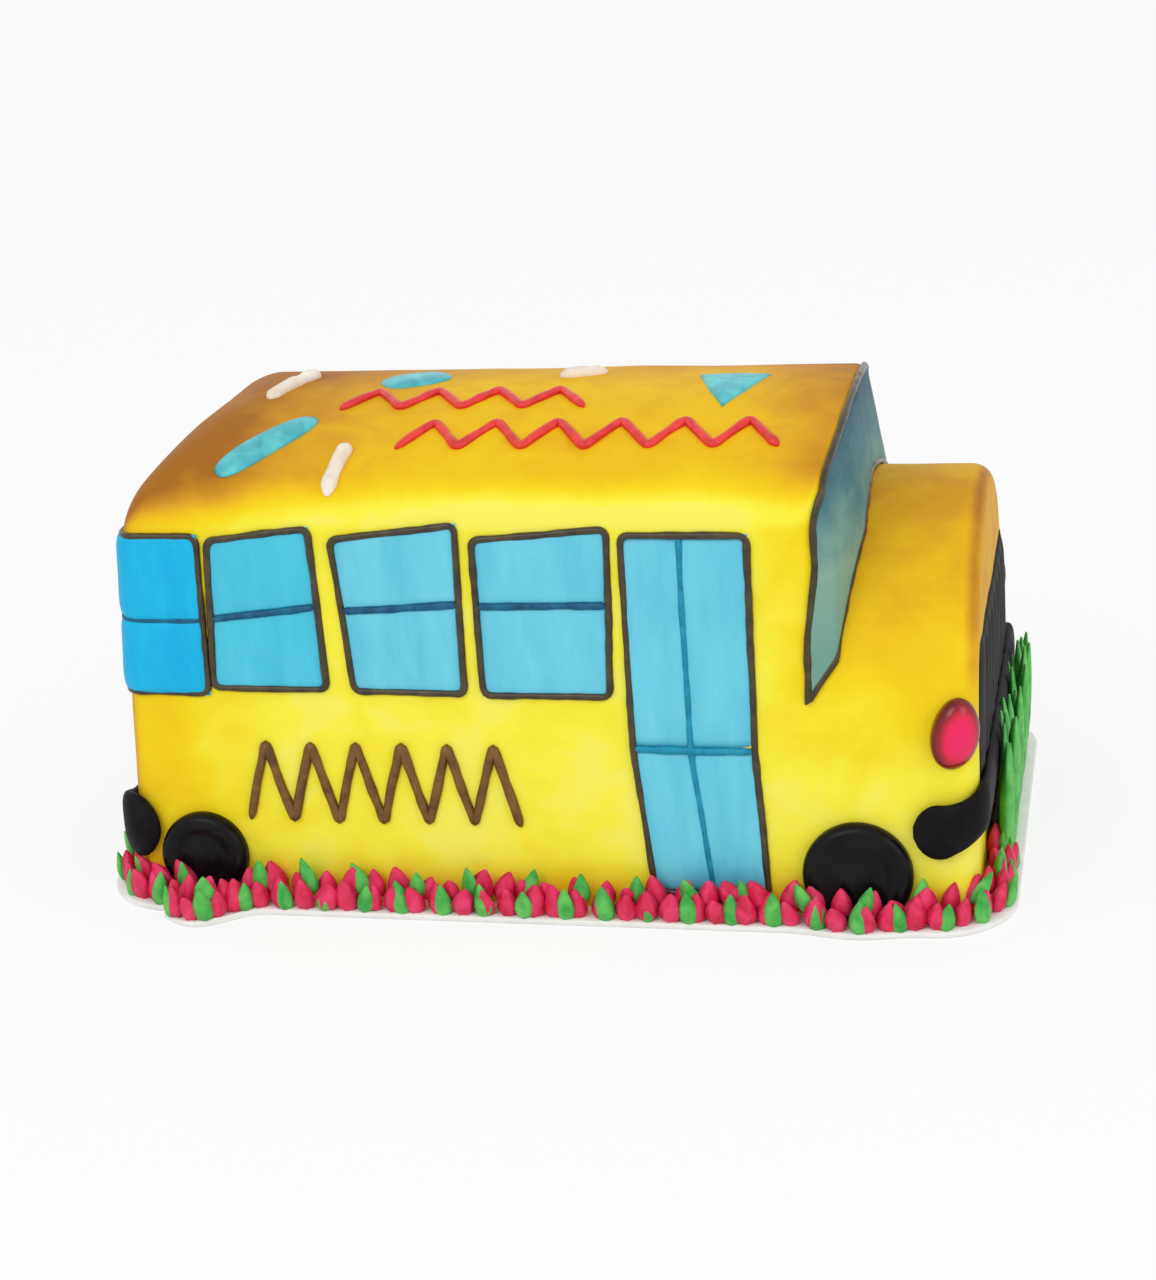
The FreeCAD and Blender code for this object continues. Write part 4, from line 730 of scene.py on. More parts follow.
def loop_path(left, right, bottom, top, corner=FRAME_CORNER, step=LINE_STEP):
    """Points round a rectangle with round corners."""
    path = []
    centres = [(right - corner, bottom + corner), (right - corner, top - corner),
               (left + corner, top - corner), (left + corner, bottom + corner)]
    bend = max(4, int(corner * pi / 2 / step))
    for index, (a, z) in enumerate(centres):
        turn = pi / 2 * index
        path += arc_points((a, z), corner, turn - pi / 2, turn, bend)
        after = centres[(index + 1) % 4]
        begin = (a + corner * cos(turn), z + corner * sin(turn))
        finish = (after[0] + corner * cos(turn), after[1] + corner * sin(turn))
        path += run_points(begin, finish, max(2, int(dist(begin, finish) / step)))[1:]
    return path


def straight_path(points, step=LINE_STEP, corner=0.0):
    """Points along straight runs, with the turns cut round."""
    path = []
    for start, end in zip(points, points[1:]):
        path += run_points(start, end, max(2, int(dist(start, end) / step)))
    path.append(points[-1])
    for smoothing in range(int(corner / step)):
        inner = [
            ((before[0] + 2 * here[0] + after[0]) / 4, (before[1] + 2 * here[1] + after[1]) / 4)
            for before, here, after in zip(path, path[1:], path[2:])
        ]
        path = [path[0]] + inner + [path[-1]]
    return path


def tube(surface, path, radius, closed, seed):
    """A piped line, half sunk along a path on a surface."""
    spots = []
    for a, z in path:
        drift = Vector((a / 14 + seed, z / 14, seed * 0.37))
        sideways, upwards = noise(drift), noise(drift + Vector((7, 3, 1)))
        point, out = surface(a + LINE_WOBBLE * sideways, z + LINE_WOBBLE * upwards)
        spots.append((point, out, radius * (1 + 0.22 * noise(drift * 2.3))))
    count = len(spots)
    vertices = []
    for index, (point, out, thick) in enumerate(spots):
        before = spots[index - 1][0] if closed or index else point
        after = spots[(index + 1) % count][0] if closed or index < count - 1 else point
        across = (after - before).normalized().cross(out).normalized()
        end_gap = min(index, count - 1 - index)
        reach = thick * (1.0 if closed else min(1.0, sqrt((end_gap + 0.25) / 2.5)))
        for turn in circle(LINE_SIDES):
            vertices.append(point + across * (reach * cos(turn)) + out * (reach * (0.9 * sin(turn) + 0.12)))
    faces = ring_quads(count, LINE_SIDES, closed)
    if not closed:
        faces.append(tuple(range(LINE_SIDES))[::-1])
        faces.append(tuple(range((count - 1) * LINE_SIDES, count * LINE_SIDES)))
    return vertices, faces


def piped(name, lines, material, slot, node, closed=False):
    """One piece from several piped lines, each (surface, path, radius)."""
    forms = [tube(*line, closed, index * 1.7 + len(name)) for index, line in enumerate(lines)]
    closed_piece(name, joined(forms), material, slot, node)


def outline(name, surface, path, node):
    piped(name, [(surface, path, LINE_RADIUS)], BROWN, "brown_piping", node, closed=True)


def framed_fields(name, surface, cells, icing, edges, lights="_lights", proud=False):
    """Patches of window icing and their outline; proud ones grow thick outwards."""
    out = surface(cells[0][0], cells[0][2])[1] * (-1 if proud else 1)
    form = joined(patch(surface, *cell) for cell in cells)
    sheet_piece(name + "_blue", form, icing, out, PATCH_THICKNESS, "window_icing", name + lights)
    outline(name + "_line", surface, loop_path(*edges), name + "_outline")


# Windows, door, hatch and windscreen

LIGHT_OVERLAP = 0.5
RAIL_GAP = 0.1
RAIL_RADIUS = 1.45
SEAM_RADIUS = 1.2
KNOB_RADIUS = 2.1
KNOB_HALF = 1.4
KNOB_STEP = 0.45

# How far the piped lines stray from the true grid, in mm, row by row from the sill up
STRAY = {
    1: [[(1.3, -0.5), (-1.3, -0.5)], [(1.0, 1.8), (-0.4, 2.6)], [(0.8, -1.8), (0.5, 2.1)]],
    2: [[(5.3, 0.5), (-1.6, 0.0)], [(2.9, -0.5), (-1.3, 2.6)], [(0.5, -1.8), (-1.0, 3.9)]],
    3: [[(-1.2, 0.8), (-1.3, 0.8)], [(0.2, -3.9), (-2.5, 1.3)], [(1.4, -2.1), (-3.7, 2.6)]],
    4: [[(0.0, -0.5), (0.4, -1.3)], [(0.0, -4.5), (0.8, -4.5)], [(0.0, -1.2), (1.2, -0.5)]],
    5: [[(0.0, 0.0), (0.6, 0.4)], [(0.5, 0.8), (-0.5, 1.2)], [(0.8, -0.6), (-0.6, 1.0)]],
}
DOOR_STRAY = [
    [(4.0, 0.0), (3.0, 0.0), (0.3, 0.0)],
    [(-1.9, 2.0), (-3.6, 1.6), (-3.2, 2.0)],
    [(-2.6, 0.0), (-4.8, 0.0), (-3.5, 0.0)],
]


def corner_window_end(z):
    """Where along the wall a corner window's tail end lies."""
    inward = wall_half(z) - TAIL_ROUNDING - CORNER_WINDOW_WRAP
    return tail_x(z) + TAIL_ROUNDING - TAIL_BEND - inward


def two_lights(left, right, bottom, rail, top):
    left, right = left - LIGHT_OVERLAP, right + LIGHT_OVERLAP
    return [
        (left, right, bottom - LIGHT_OVERLAP, rail - RAIL_GAP),
        (left, right, rail + RAIL_GAP, top + LIGHT_OVERLAP),
    ]


def locate(marks, value):
    """The span between marks that holds a value, and how far along it is."""
    index = 0
    while index < len(marks) - 2 and value > marks[index + 1]:
        index += 1
    return index, (value - marks[index]) / (marks[index + 1] - marks[index])


def strayed(surface, columns, rows, shifts):
    """A surface that slides by the amounts at the crossings of a grid."""

    def at(a, z):
        column, u = locate(columns, a)
        row, v = locate(rows, z)
        slide = Vector((0, 0))
        for up, share in ((0, 1 - v), (1, v)):
            slide += Vector(shifts[row + up][column]) * (share * (1 - u))
            slide += Vector(shifts[row + up][column + 1]) * (share * u)
        return surface(a + slide.x, z + slide.y)

    return at


def make_windows():
    rows = [WINDOW_SILL, WINDOW_RAIL, WINDOW_HEAD]
    for side in ("near", "far"):
        spans = dict(WINDOWS)
        spans[4] = (corner_window_end((WINDOW_SILL + WINDOW_HEAD) / 2), CORNER_WINDOW_FRONT)
        if side == "far":
            spans[5] = DOOR
        rails = []
        for number, (left, right) in spans.items():
            name = "%s_window_%d" % (side, number)
            wall = strayed(side_wall(side), [left, right], rows, STRAY[number])
            icing = {3: THIRD_BLUE, 4: CORNER_BLUE}.get(number, WINDOW_BLUE)
            edges = (left, right, WINDOW_SILL, WINDOW_HEAD)
            framed_fields(name, wall, two_lights(left, right, *rows), icing, edges, proud=number == 4)
            rails.append((wall, straight_path([(left, WINDOW_RAIL), (right, WINDOW_RAIL)]), RAIL_RADIUS))
        piped(side + "_rail_lines", rails, DEEP_BLUE, "window_icing", side + "_window_rails")


def make_door():
    left, right = DOOR
    middle = (left + right) / 2
    rows = [DOOR_SILL, DOOR_RAIL, WINDOW_HEAD]
    wall = strayed(side_wall("near"), [left, middle, right], rows, DOOR_STRAY)
    cells = two_lights(left, middle, *rows) + two_lights(middle, right, *rows)
    framed_fields("door", wall, cells, WINDOW_BLUE, (left, right, DOOR_SILL, WINDOW_HEAD))
    seam = straight_path([(middle, DOOR_SILL), (middle, WINDOW_HEAD)])
    rail = straight_path([(left, DOOR_RAIL), (right, DOOR_RAIL)])
    knob = straight_path([(middle - KNOB_HALF, DOOR_RAIL), (middle + KNOB_HALF, DOOR_RAIL)], KNOB_STEP)
    lines = [(wall, seam, SEAM_RADIUS), (wall, rail, LINE_RADIUS), (wall, knob, KNOB_RADIUS)]
    piped("door_rail_line", lines, DOOR_BLUE, "window_icing", "door_rails")


def make_hatch():
    inner = HATCH_HALF - 3 * LINE_RADIUS
    light = (-inner, inner, HATCH_LIGHT_SILL, HATCH_HEAD - 3 * LINE_RADIUS)
    edges = (-HATCH_HALF, HATCH_HALF, HATCH_SILL, HATCH_HEAD)
    framed_fields("tail_hatch", tail_wall, [light], WINDOW_BLUE, edges, lights="_light")


SCREEN_MARGIN = 1.3
SCREEN_FOOT_MARGIN = 0.8
SCREEN_LEVELS = 14


def screen_edge():
    """(y, z) points of the windscreen's edge under the roof and over the hood."""
    over = HOOD_RADIUS + SCREEN_FOOT_MARGIN
    turn = LEAN + acos((HOOD_RADIUS - SCREEN_MARGIN) / over)
    tip = (over * cos(turn), HOOD_CENTRE + over * sin(turn))
    half = roof_half(tip, SCREEN_MARGIN, (34, 22, 44))
    top = half + mirrored(half)
    return top, arc_points((0, HOOD_CENTRE), over, pi - turn, turn, len(top) + 1)[1:-1]


def make_windscreen():
    top, foot = screen_edge()
    outline("windscreen_line", cab_face, top + foot, "windscreen_outline")
    foot = foot[::-1]

    def spot(level, column):
        share = level / SCREEN_LEVELS
        y = between(foot[column][0], top[column][0], share)
        z = between(foot[column][1], top[column][1], share)
        point, out = cab_face(y, z)
        return point + out * (0.9 + 0.15 * noise(point / 12))

    form = sheet(SCREEN_LEVELS, len(top) - 1, spot)
    sheet_piece("windscreen_blue", form, SCREEN_BLUE, FORWARD, 1.6, "window_icing", "windscreen_pane")


# Wheels, bumpers, grille and lamps. A profile lists (share of the radius, share of the height).

WHEEL_DEPTH = 6
WHEEL_PROFILE = [(0.22, 0.88), (0.36, 0.82), (0.46, 0.74), (0.56, 0.8), (0.7, 0.97), (0.82, 1.0),
                 (0.92, 0.9), (0.985, 0.64), (1.0, 0.34), (0.99, 0.0), (0.97, -0.12)]


def wheel_disc(centre, out, up, radius):
    """A thick dished disc, flat where it stands."""

    def spot(share, depth, turn):
        point = centre + FORWARD * (radius * share * cos(turn)) + up * (radius * share * sin(turn))
        point += out * (WHEEL_DEPTH * depth)
        swell = 0.4 * noise(point / 8) * smooth_step(0.0, 0.5, depth)
        point += out * (swell - 0.25)
        point.z = max(point.z, CARD_TOP + 0.1)
        return point

    return ringed(WHEEL_PROFILE, 64, spot)


def make_wheels():
    for side in ("near", "far"):
        discs = []
        for x, z, radius in WHEELS:
            centre, out = side_wall(side)(x, z)
            up = FORWARD.cross(out) * (1 if side == "near" else -1)
            discs.append(wheel_disc(centre, out, up, radius))
        closed_piece(side + "_wheel_icing", joined(discs), BLACK, "black_icing", side + "_wheels")


BUMPER_HEIGHT = 18
BUMPER_DEPTH = 5
BUMPER_TIP = 9

# Height, rise between the tips, x of the tips, and how much the bulbs at the tips swell
BUMPERS = {
    "front_bumper": (37, 7.5, 141.5, 0.2),
    "rear_bumper": (31, 0.0, -151, 0.5),
}


def bumper_path(tip, face, corner, half):
    """Points and outward directions in plan, from tip to tip."""
    path = [(x, -half, 0.0, -1.0) for x, y in run_points((tip, 0), (face - corner, 0), 9)]
    for x, y in arc_points((0, 0), corner, -pi / 2, 0, 10):
        path.append((face - corner + x, y + corner - half, x / corner, y / corner))
    path += [(face, y, 1.0, 0.0) for x, y in run_points((0, corner - half), (0, 0), 26)[1:]]
    path.append((face, 0.0, 1.0, 0.0))
    return path + [(x, -y, out_x, -out_y) for x, y, out_x, out_y in path[-2::-1]]


def bumper_rings(height, rise, sign, path, swell):
    """A fat piped band with a bulb at both tips."""
    travelled = [0.0]
    for before, here in zip(path, path[1:]):
        travelled.append(travelled[-1] + dist(before[:2], here[:2]))
    rings = []
    for (x, y, out_x, out_y), gone in zip(path, travelled):
        gap = min(gone, travelled[-1] - gone)
        grow = sqrt(1 - (1 - min(1.0, gap / BUMPER_TIP + 0.03)) ** 2)
        bulb = grow * (1 + swell * exp(-((gap - BUMPER_TIP) / BUMPER_TIP) ** 2))
        out = Vector((sign * out_x, out_y, 0))
        raised = rise * smooth_step(10, 28, gap)
        skin = Vector((sign * x, y, height + raised)) + out * (BUMPER_DEPTH * 0.46 - raised * tan(LEAN))
        ring = []
        for turn in circle(20):
            high = BUMPER_HEIGHT / 2 * bulb * squared(sin(turn), 0.8)
            deep = BUMPER_DEPTH / 2 * bulb * squared(cos(turn), 0.8)
            spot = skin + UPWARD * high + out * deep
            ring.append(spot + out * (0.35 * noise(spot / 11)))
        rings.append(ring)
    return rings


def make_bumpers():
    for name, (height, rise, tip, swell) in BUMPERS.items():
        face, corner = (NOSE, NOSE_ROUNDING) if tip > 0 else (-tail_x(height), TAIL_ROUNDING)
        path = bumper_path(abs(tip), face, corner, wall_half(height))
        form = stitch_rings(bumper_rings(height, rise, copysign(1, tip), path, swell))
        closed_piece(name + "_icing", form, DULL_BLACK, "black_icing", name)


# Heights of the grille's sill, shoulder and head, and half its width there
GRILLE_LEVELS = [49.5, 84, 101]
GRILLE_HALVES = [77, 72.5, 64]
GRILLE_RIDGES = 9


def make_grille():
    """A black panel on the nose with upright ridges."""
    columns, rows = 90, 24

    def spot(column, row):
        u, v = 2 * column / columns - 1, row / rows
        z = between(GRILLE_LEVELS[0], GRILLE_LEVELS[-1], v)
        level, part = locate(GRILLE_LEVELS, z)
        half = between(GRILLE_HALVES[level], GRILLE_HALVES[level + 1], part)
        edge = (1 - abs(u) ** 10) * (1 - (2 * v - 1) ** 10)
        inside = smooth_step(0.0, 0.12, v) * smooth_step(0.0, 0.12, 1 - v) * (abs(u) < 0.86)
        ridge = max(0.0, cos(u * pi * GRILLE_RIDGES)) * inside
        lift = 2.4 * edge - 0.4 - 1.0 * inside * (1 - ridge)
        return Vector((NOSE + lift, u * half, z))

    form = sheet(columns, rows, spot)
    sheet_piece("grille_icing", form, DULL_BLACK, FORWARD, 1, "black_icing", "grille")


LAMP_TURN = radians(24)
LAMP_Z = 74
LAMP_HALF = (9, 13.5)
LAMP_STAND = 5
LAMP_BACK = 3.2
TAIL_LAMP_Y = 46
LAMP_PROFILE = [(0.12, 1.0), (0.3, 0.97), (0.5, 0.88), (0.68, 0.74), (0.82, 0.56), (0.92, 0.36),
                (0.985, 0.14), (1.0, -0.1), (0.97, -0.5), (0.9, -0.9)]
LAMP_SIDES = 40


def lamp_drop(centre, along, up, out):

    def spot(share, height, turn):
        lean = 0.16 * sin(turn) - 0.1 * sin(turn) * cos(turn)
        point = centre + along * (LAMP_HALF[0] * share * (cos(turn) + lean))
        return point + up * (LAMP_HALF[1] * share * sin(turn)) + out * (LAMP_STAND * height)

    return ringed(LAMP_PROFILE, LAMP_SIDES, spot)


def make_lamps():
    drops = []
    half = sqrt(HOOD_RADIUS ** 2 - (LAMP_Z - HOOD_CENTRE) ** 2)
    for sign in (-1, 1):
        out = Vector((sin(LAMP_TURN), sign * cos(LAMP_TURN), 0))
        along = Vector((cos(LAMP_TURN), -sign * sin(LAMP_TURN), 0))
        centre = Vector((NOSE - NOSE_ROUNDING, sign * (half - NOSE_ROUNDING), LAMP_Z)) + out * NOSE_ROUNDING
        drops.append(lamp_drop(centre - along * LAMP_BACK, along, UPWARD, out))
        centre, out = tail_wall(sign * TAIL_LAMP_Y, LAMP_Z)
        across = Vector((0, 1, 0))
        drops.append(lamp_drop(centre, across, out.cross(across), out))
    piece = mesh_piece("lamp_gel_drops", joined(drops), GEL)
    shares = [share for share, height in LAMP_PROFILE for step in range(LAMP_SIDES)] + [0.0, 1.0]
    store(piece, "rim", [smooth_step(0.35, 1.0, share) for share in shares * len(drops)])
    face_outwards(piece)
    carry(piece, "lamp_gel", "lamps")


# Decorations on the walls and the roof

WALL_LINE_RADIUS = 1.85
ROOF_LINE_RADIUS = 1.9
STICK_RADIUS = 3.1
STICKS = [((-112, -18), (-102, 14)), ((-73, -75), (-70, -53)), ((0, 5), (17, 13))]
DAB_HEIGHT = 1.5
DAB_PROFILE = [(0.1, 1.0), (0.35, 0.98), (0.6, 0.9), (0.8, 0.7), (0.92, 0.4), (1.0, -0.1), (0.96, -0.8)]
WEDGE_PROFILE = [(0.1, 1.0), (0.4, 0.98), (0.7, 0.85), (0.9, 0.5), (1.0, -0.1), (0.95, -0.8)]
WEDGE_STRETCH = 1.4


def zigzag_path(count, pitch, height, middle):
    corners = []
    for step in range(2 * count + 1):
        swing = height / 2 if step % 2 else -height / 2
        corners.append((middle[0] + (step - count) * pitch / 2, middle[1] + swing))
    return straight_path(corners, corner=5)


def make_zigzags():
    path = zigzag_path(6, 18, 32, (-60, 50))
    for side in ("near", "far"):
        lines = [(side_wall(side), path, WALL_LINE_RADIUS)]
        piped(side + "_zigzag_line", lines, MOTIF_BROWN, "brown_piping", side + "_zigzag")
    paths = zigzag_path(6, 24, 16, (21, -47)), zigzag_path(4, 24, 16, (-32, -20))
    lines = [(roof_skin, path, ROOF_LINE_RADIUS) for path in paths]
    piped("roof_zigzag_lines", lines, SCROLL_RED, "red_piping", "roof_zigzags")


def make_sticks():
    lines = [(roof_skin, straight_path(ends), STICK_RADIUS) for ends in STICKS]
    piped("white_sticks", lines, WHITE, "white_icing", "chalk_sticks")


def dome(profile, count, middle, edge):
    """A raised shape on the roof; edge gives its rim at a turn."""

    def spot(share, height, turn):
        x, y = edge(turn)
        point, out = roof_skin(middle[0] + x * share, middle[1] + y * share)
        return point + out * (DAB_HEIGHT * height)

    return ringed(profile, count, spot)


def dab(middle, half_length, half_width, degrees, power):
    """An oval or a rounded bar seen from above."""
    turn = radians(degrees)

    def edge(swing):
        along = squared(cos(swing), power) * half_length
        across = squared(sin(swing), power) * half_width
        return along * cos(turn) - across * sin(turn), along * sin(turn) + across * cos(turn)

    return dome(DAB_PROFILE, 36, middle, edge)


def wedge(middle, reach):
    """A triangle with round corners."""

    def edge(swing):
        part = (swing + pi / 2) % (2 * pi / 3) - pi / 3
        radial = reach * 0.5 / cos(part) * (1 - 0.1 * abs(part) ** 2)
        return radial * cos(swing), WEDGE_STRETCH * radial * sin(swing)

    return dome(WEDGE_PROFILE, 48, middle, edge)


def make_roof_shapes():
    shapes = [
        dab((-103, -51), 22.5, 6.8, 47, 0.75),
        dab((-58, 4), 14, 9.5, 30, 0.8),
        wedge((69, -7), 18),
    ]
    closed_piece("roof_shape_icing", joined(shapes), TURQUOISE, "turquoise_piping", "roof_outlines")


# The leaf border

LEAF_PROFILE = [(0.0, 0.55), (0.12, 0.86), (0.3, 1.0), (0.5, 0.88), (0.7, 0.6), (0.86, 0.32), (1.0, 0.06)]
FOOT_CORNER = 30
BULGES = (12.5, 3.5)
BULGE_LENGTH = 26
TALL_START = -45


def leaf_shape(name, icing, width, depth, height, lobes, lean, plump):
    """One piped leaf: a ridged drop that leans out."""

    def spot(level, share, turn):
        reach = share ** plump * (1 + 0.13 * cos(lobes * turn))
        y = -depth / 2 * reach * sin(turn) - lean * height * level * level
        return width / 2 * reach * cos(turn), y, height * level

    leaf = mesh_piece(name, ringed(LEAF_PROFILE, 12, spot), icing)
    face_outwards(leaf)
    return leaf


def build_leaf_row():
    """Geometry nodes: leaves along a curve, facing out, each a little different."""
    tree, given = new_group("leaf_row", "GeometryNodeTree", {
        "Geometry": "Geometry", "Leaf": "Object", "Count": "Int", "Smallest": "Float", "Largest": "Float",
        "Tilt": "Float", "Seed": "Int",
    }, {"Geometry": "Geometry"})
    curve = {"Curve": given["Geometry"], "Count": given["Count"]}
    spots = add_node(tree, "GeometryNodeCurveToPoints", curve, mode="COUNT").outputs
    leaf = add_node(tree, "GeometryNodeObjectInfo", {"Object": given["Leaf"]}).outputs
    spread = {2: given["Smallest"], 3: given["Largest"], "Seed": given["Seed"]}
    sizes = add_node(tree, "FunctionNodeRandomValue", spread).outputs
    tilts = add_node(tree, "FunctionNodeRandomValue", {"Seed": given["Seed"]}, data_type="FLOAT_VECTOR")
    feed(tree, tilts, {0: calculate(tree, "MULTIPLY", given["Tilt"], -1.0), 1: given["Tilt"]})
    turned = add_node(tree, "FunctionNodeEulerToRotation", {"Euler": tilts.outputs[0]}).outputs
    tangent = {"Vector": spots["Tangent"]}
    aim = add_node(tree, "FunctionNodeAlignRotationToVector", tangent, axis="X", pivot_axis="Z").outputs
    turns = {"Rotation": aim["Rotation"], "Rotate By": turned["Rotation"]}
    sway = add_node(tree, "FunctionNodeRotateRotation", turns, rotation_space="LOCAL").outputs
    placed = add_node(tree, "GeometryNodeInstanceOnPoints", {
        "Points": spots["Points"], "Instance": leaf["Geometry"], "Rotation": sway["Rotation"],
        "Scale": sizes[1],
    }).outputs
    real = add_node(tree, "GeometryNodeRealizeInstances", {"Geometry": placed["Instances"]}).outputs
    add_node(tree, "NodeGroupOutput", {"Geometry": real["Geometry"]})
    return tree


LEAF_ROW = build_leaf_row()


def leaf_row(name, points, leaf, count, sizes, tilt, seed):
    """The leaves along a curve, as a mesh."""
    path = bpy.data.curves.new(name + "_path", "CURVE")
    path.dimensions = "3D"
    spline = path.splines.new("POLY")
    spline.points.add(len(points) - 1)
    for knot, point in zip(spline.points, points):
        knot.co = (*(Vector(point) * MM), 1.0)
    holder = place_object(path.name, path)
    modifier = holder.modifiers.new("leaves", "NODES")
    modifier.node_group = LEAF_ROW
    values = dict(zip(("Leaf", "Count", "Smallest", "Largest", "Tilt", "Seed"),
                      (leaf, count, *sizes, tilt, seed)))
    for socket in LEAF_ROW.interface.items_tree:
        if socket.in_out == "INPUT" and socket.name in values:
            modifier[socket.identifier] = values[socket.name]
    bpy.context.view_layer.update()
    mesh = bpy.data.meshes.new_from_object(holder.evaluated_get(bpy.context.evaluated_depsgraph_get()))
    holder.modifiers.remove(modifier)
    bpy.data.objects.remove(holder)
    return mesh


def leaf_piece(name, rows, icing, slot, node):
    """One piece from several leaf rows."""
    work = bmesh.new()
    for row in rows:
        mesh = leaf_row(*row)
        work.from_mesh(mesh)
        bpy.data.meshes.remove(mesh)
    leaves = bpy.data.meshes.new(name)
    work.to_mesh(leaves)
    work.free()
    leaves.materials.append(icing)
    shade_smooth(leaves)
    carry(place_object(name, leaves), slot, node)


def foot_bulge(x):
    """How far the border swings out to pass round the wheels."""
    swing = 0.0
    for (wheel_x, z, radius), bulge in zip(WHEELS, BULGES):
        share = (x - wheel_x) / BULGE_LENGTH
        if abs(share) < 1:
            swing += bulge * (1 + cos(pi * share)) / 2
    return swing


def foot_loop(offset, height, end_offset=None):
    """Points round the foot, at a distance from the walls."""
    half_x = NOSE + (offset if end_offset is None else end_offset)
    points = []
    half_y = HALF_WIDTH + offset
    for x, y in loop_path(-half_x, half_x, -half_y, half_y, FOOT_CORNER, 2):
        if abs(x) < half_x - FOOT_CORNER:
            y += copysign(foot_bulge(x), y)
        points.append((x, y, height))
    return points


def stretch_between(points, wanted):
    """The run of neighbouring points of a loop that pass a test."""
    flags = [wanted(point) for point in points]
    start = next(i for i in range(len(points)) if flags[i] and not flags[i - 1])
    run = []
    index = start
    while flags[index % len(points)] and len(run) < len(points):
        run.append(points[index % len(points)])
        index += 1
    return run


def is_tall(spot):
    """Whether a leaf stands tall, in front of the grille."""
    return spot[0] > NOSE + 2 and spot[1] > TALL_START


def low_run(offset, lift=0.0):
    return stretch_between(foot_loop(offset, CARD_TOP + lift), lambda spot: not is_tall(spot))


def make_border():
    red_leaf = leaf_shape("red_leaf", RED_LEAF, 8.4, 6.2, 12.4, 6, 0.14, 0.75)
    green_leaf = leaf_shape("green_leaf", GREEN_LEAF, 7.2, 5, 13.5, 4, 0.06, 0.85)
    tall_leaf = leaf_shape("tall_green_leaf", GREEN_LEAF, 9.5, 5.2, 50, 4, 0.0, 0.6)
    tall_run = stretch_between(foot_loop(7.2, CARD_TOP), is_tall)
    reds = [
        ("front_reds", low_run(8.8), red_leaf, 104, (0.85, 1.08), 0.24, 3),
        ("back_reds", low_run(4.6, 3.5), red_leaf, 92, (0.8, 1.15), 0.34, 8),
    ]
    greens = [
        ("front_greens", low_run(10.4), green_leaf, 60, (0.8, 1.02), 0.2, 5),
        ("back_greens", low_run(6.2, 5), green_leaf, 44, (0.8, 1.1), 0.34, 7),
        ("tall_greens", tall_run, tall_leaf, 24, (0.84, 1.08), 0.08, 11),
    ]
    leaf_piece("red_leaf_border", reds, RED_LEAF, "red_leaf_icing", "border_red_leaves")
    leaf_piece("green_leaf_border", greens, GREEN_LEAF, "green_leaf_icing", "border_green_leaves")
    for leaf in (red_leaf, green_leaf, tall_leaf):
        bpy.data.objects.remove(leaf)


def make_card():
    top = foot_loop(12, CARD_TOP, 13.4)
    rings = []
    for inset, height in [(0.6, 0.0), (0.2, 0.2), (0.0, 0.5), (0.0, 0.8), (0.3, 1.0), (4.0, 1.0)]:
        shrink = 1 - inset / 100
        rings.append([(x * shrink, y * shrink, CARD_TOP * height) for x, y, z in top])
    closed_piece("card_board", stitch_rings(rings), CARD, "card", "cake_card")


# The stage: floor, lamps and camera

PLAIN_WHITE = (1.0, 1.0, 1.0, 1.0)
FLOOR_HALF = 9000
LIGHTS_AIM = (0, 0, 0.08)


def show_white(tree, shader, white_kind, strength, end):
    """Mix a shader with plain white for the camera and reflections."""
    path = add_node(tree, "ShaderNodeLightPath").outputs
    mirrored_rays = calculate(tree, "MAXIMUM", path["Is Glossy Ray"], path["Is Transmission Ray"])
    seen = calculate(tree, "MAXIMUM", path["Is Camera Ray"], mirrored_rays)
    share = calculate(tree, "MULTIPLY", seen, strength)
    white = add_node(tree, white_kind, {"Color": PLAIN_WHITE, "Strength": 1.0})
    blend = add_node(tree, "ShaderNodeMixShader", {0: share, 1: shader.outputs[0], 2: white.outputs[0]})
    feed(tree, tree.nodes[end], {"Surface": blend.outputs[0]})


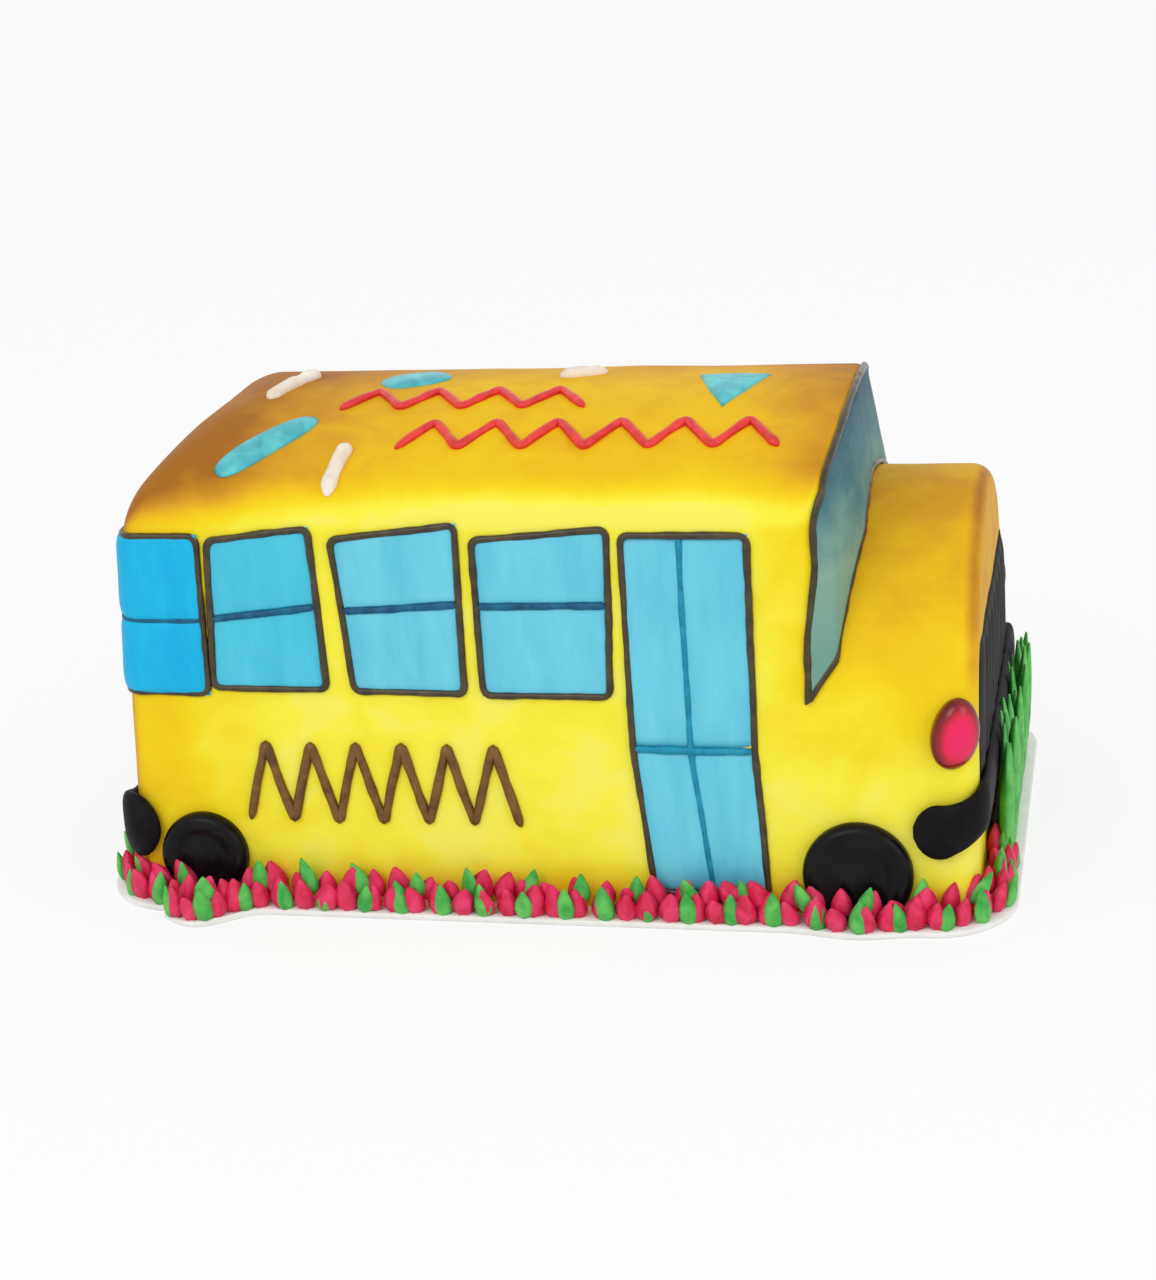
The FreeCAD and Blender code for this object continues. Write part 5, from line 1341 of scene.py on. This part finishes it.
def make_floor():
    """A pale floor that shows the camera white where no shadow falls."""
    corners = [(x * FLOOR_HALF, y * FLOOR_HALF, 0) for x, y in ((-1, -1), (1, -1), (1, 1), (-1, 1))]
    material, tree = new_material("pale_floor", 0.9, shine=0.1)
    shader = tree.nodes["Principled BSDF"]
    shader.inputs["Base Color"].default_value = (0.92, 0.92, 0.92, 1.0)
    show_white(tree, shader, "ShaderNodeEmission", 0.8, "Material Output")
    mesh_piece("floor", (corners, [(0, 1, 2, 3)]), material)


def make_world():
    world = bpy.data.worlds.new("studio")
    bpy.context.scene.world = world
    world.use_nodes = True
    tree = world.node_tree
    light = tree.nodes["Background"]
    feed(tree, light, {"Color": PLAIN_WHITE, "Strength": 0.78})
    show_white(tree, light, "ShaderNodeBackground", 1.0, "World Output")


def add_softbox(name, place, size, power):
    light = bpy.data.lights.new(name, "AREA")
    light.shape = "RECTANGLE"
    light.size, light.size_y = size
    light.energy = power
    lamp = place_object(name, light)
    lamp.location = place
    lamp.rotation_euler = (Vector(LIGHTS_AIM) - Vector(place)).to_track_quat("-Z", "Y").to_euler()


def make_camera():
    """The photograph's view, in metres."""
    place = (0.22576, -0.92239, 0.43734)
    yaw, pitch, roll = 0.24, 0.364, -0.077
    focal_pixels, long_side = 2521.8, 1280
    data = bpy.data.cameras.new("camera")
    data.sensor_width = 36
    data.lens = focal_pixels / long_side * data.sensor_width
    camera = place_object("camera", data)
    camera.matrix_world = Matrix.Translation(place)
    for turn, axis in ((yaw, "Z"), (pi / 2 - pitch, "X"), (roll, "Z")):
        camera.matrix_world = camera.matrix_world @ Matrix.Rotation(turn, 4, axis)
    bpy.context.scene.camera = camera


make_cabin()
make_hood()
make_windows()
make_door()
make_hatch()
make_windscreen()
make_wheels()
make_bumpers()
make_grille()
make_lamps()
make_zigzags()
make_sticks()
make_roof_shapes()
make_border()
make_card()
make_floor()
make_world()
add_softbox("key_light", (-0.6, -1.6, 1.5), (1.1, 0.9), 9)
add_softbox("front_light", (1.4, -0.9, 0.9), (0.9, 0.9), 4)
make_camera()
bpy.context.scene.view_settings.view_transform = "Standard"
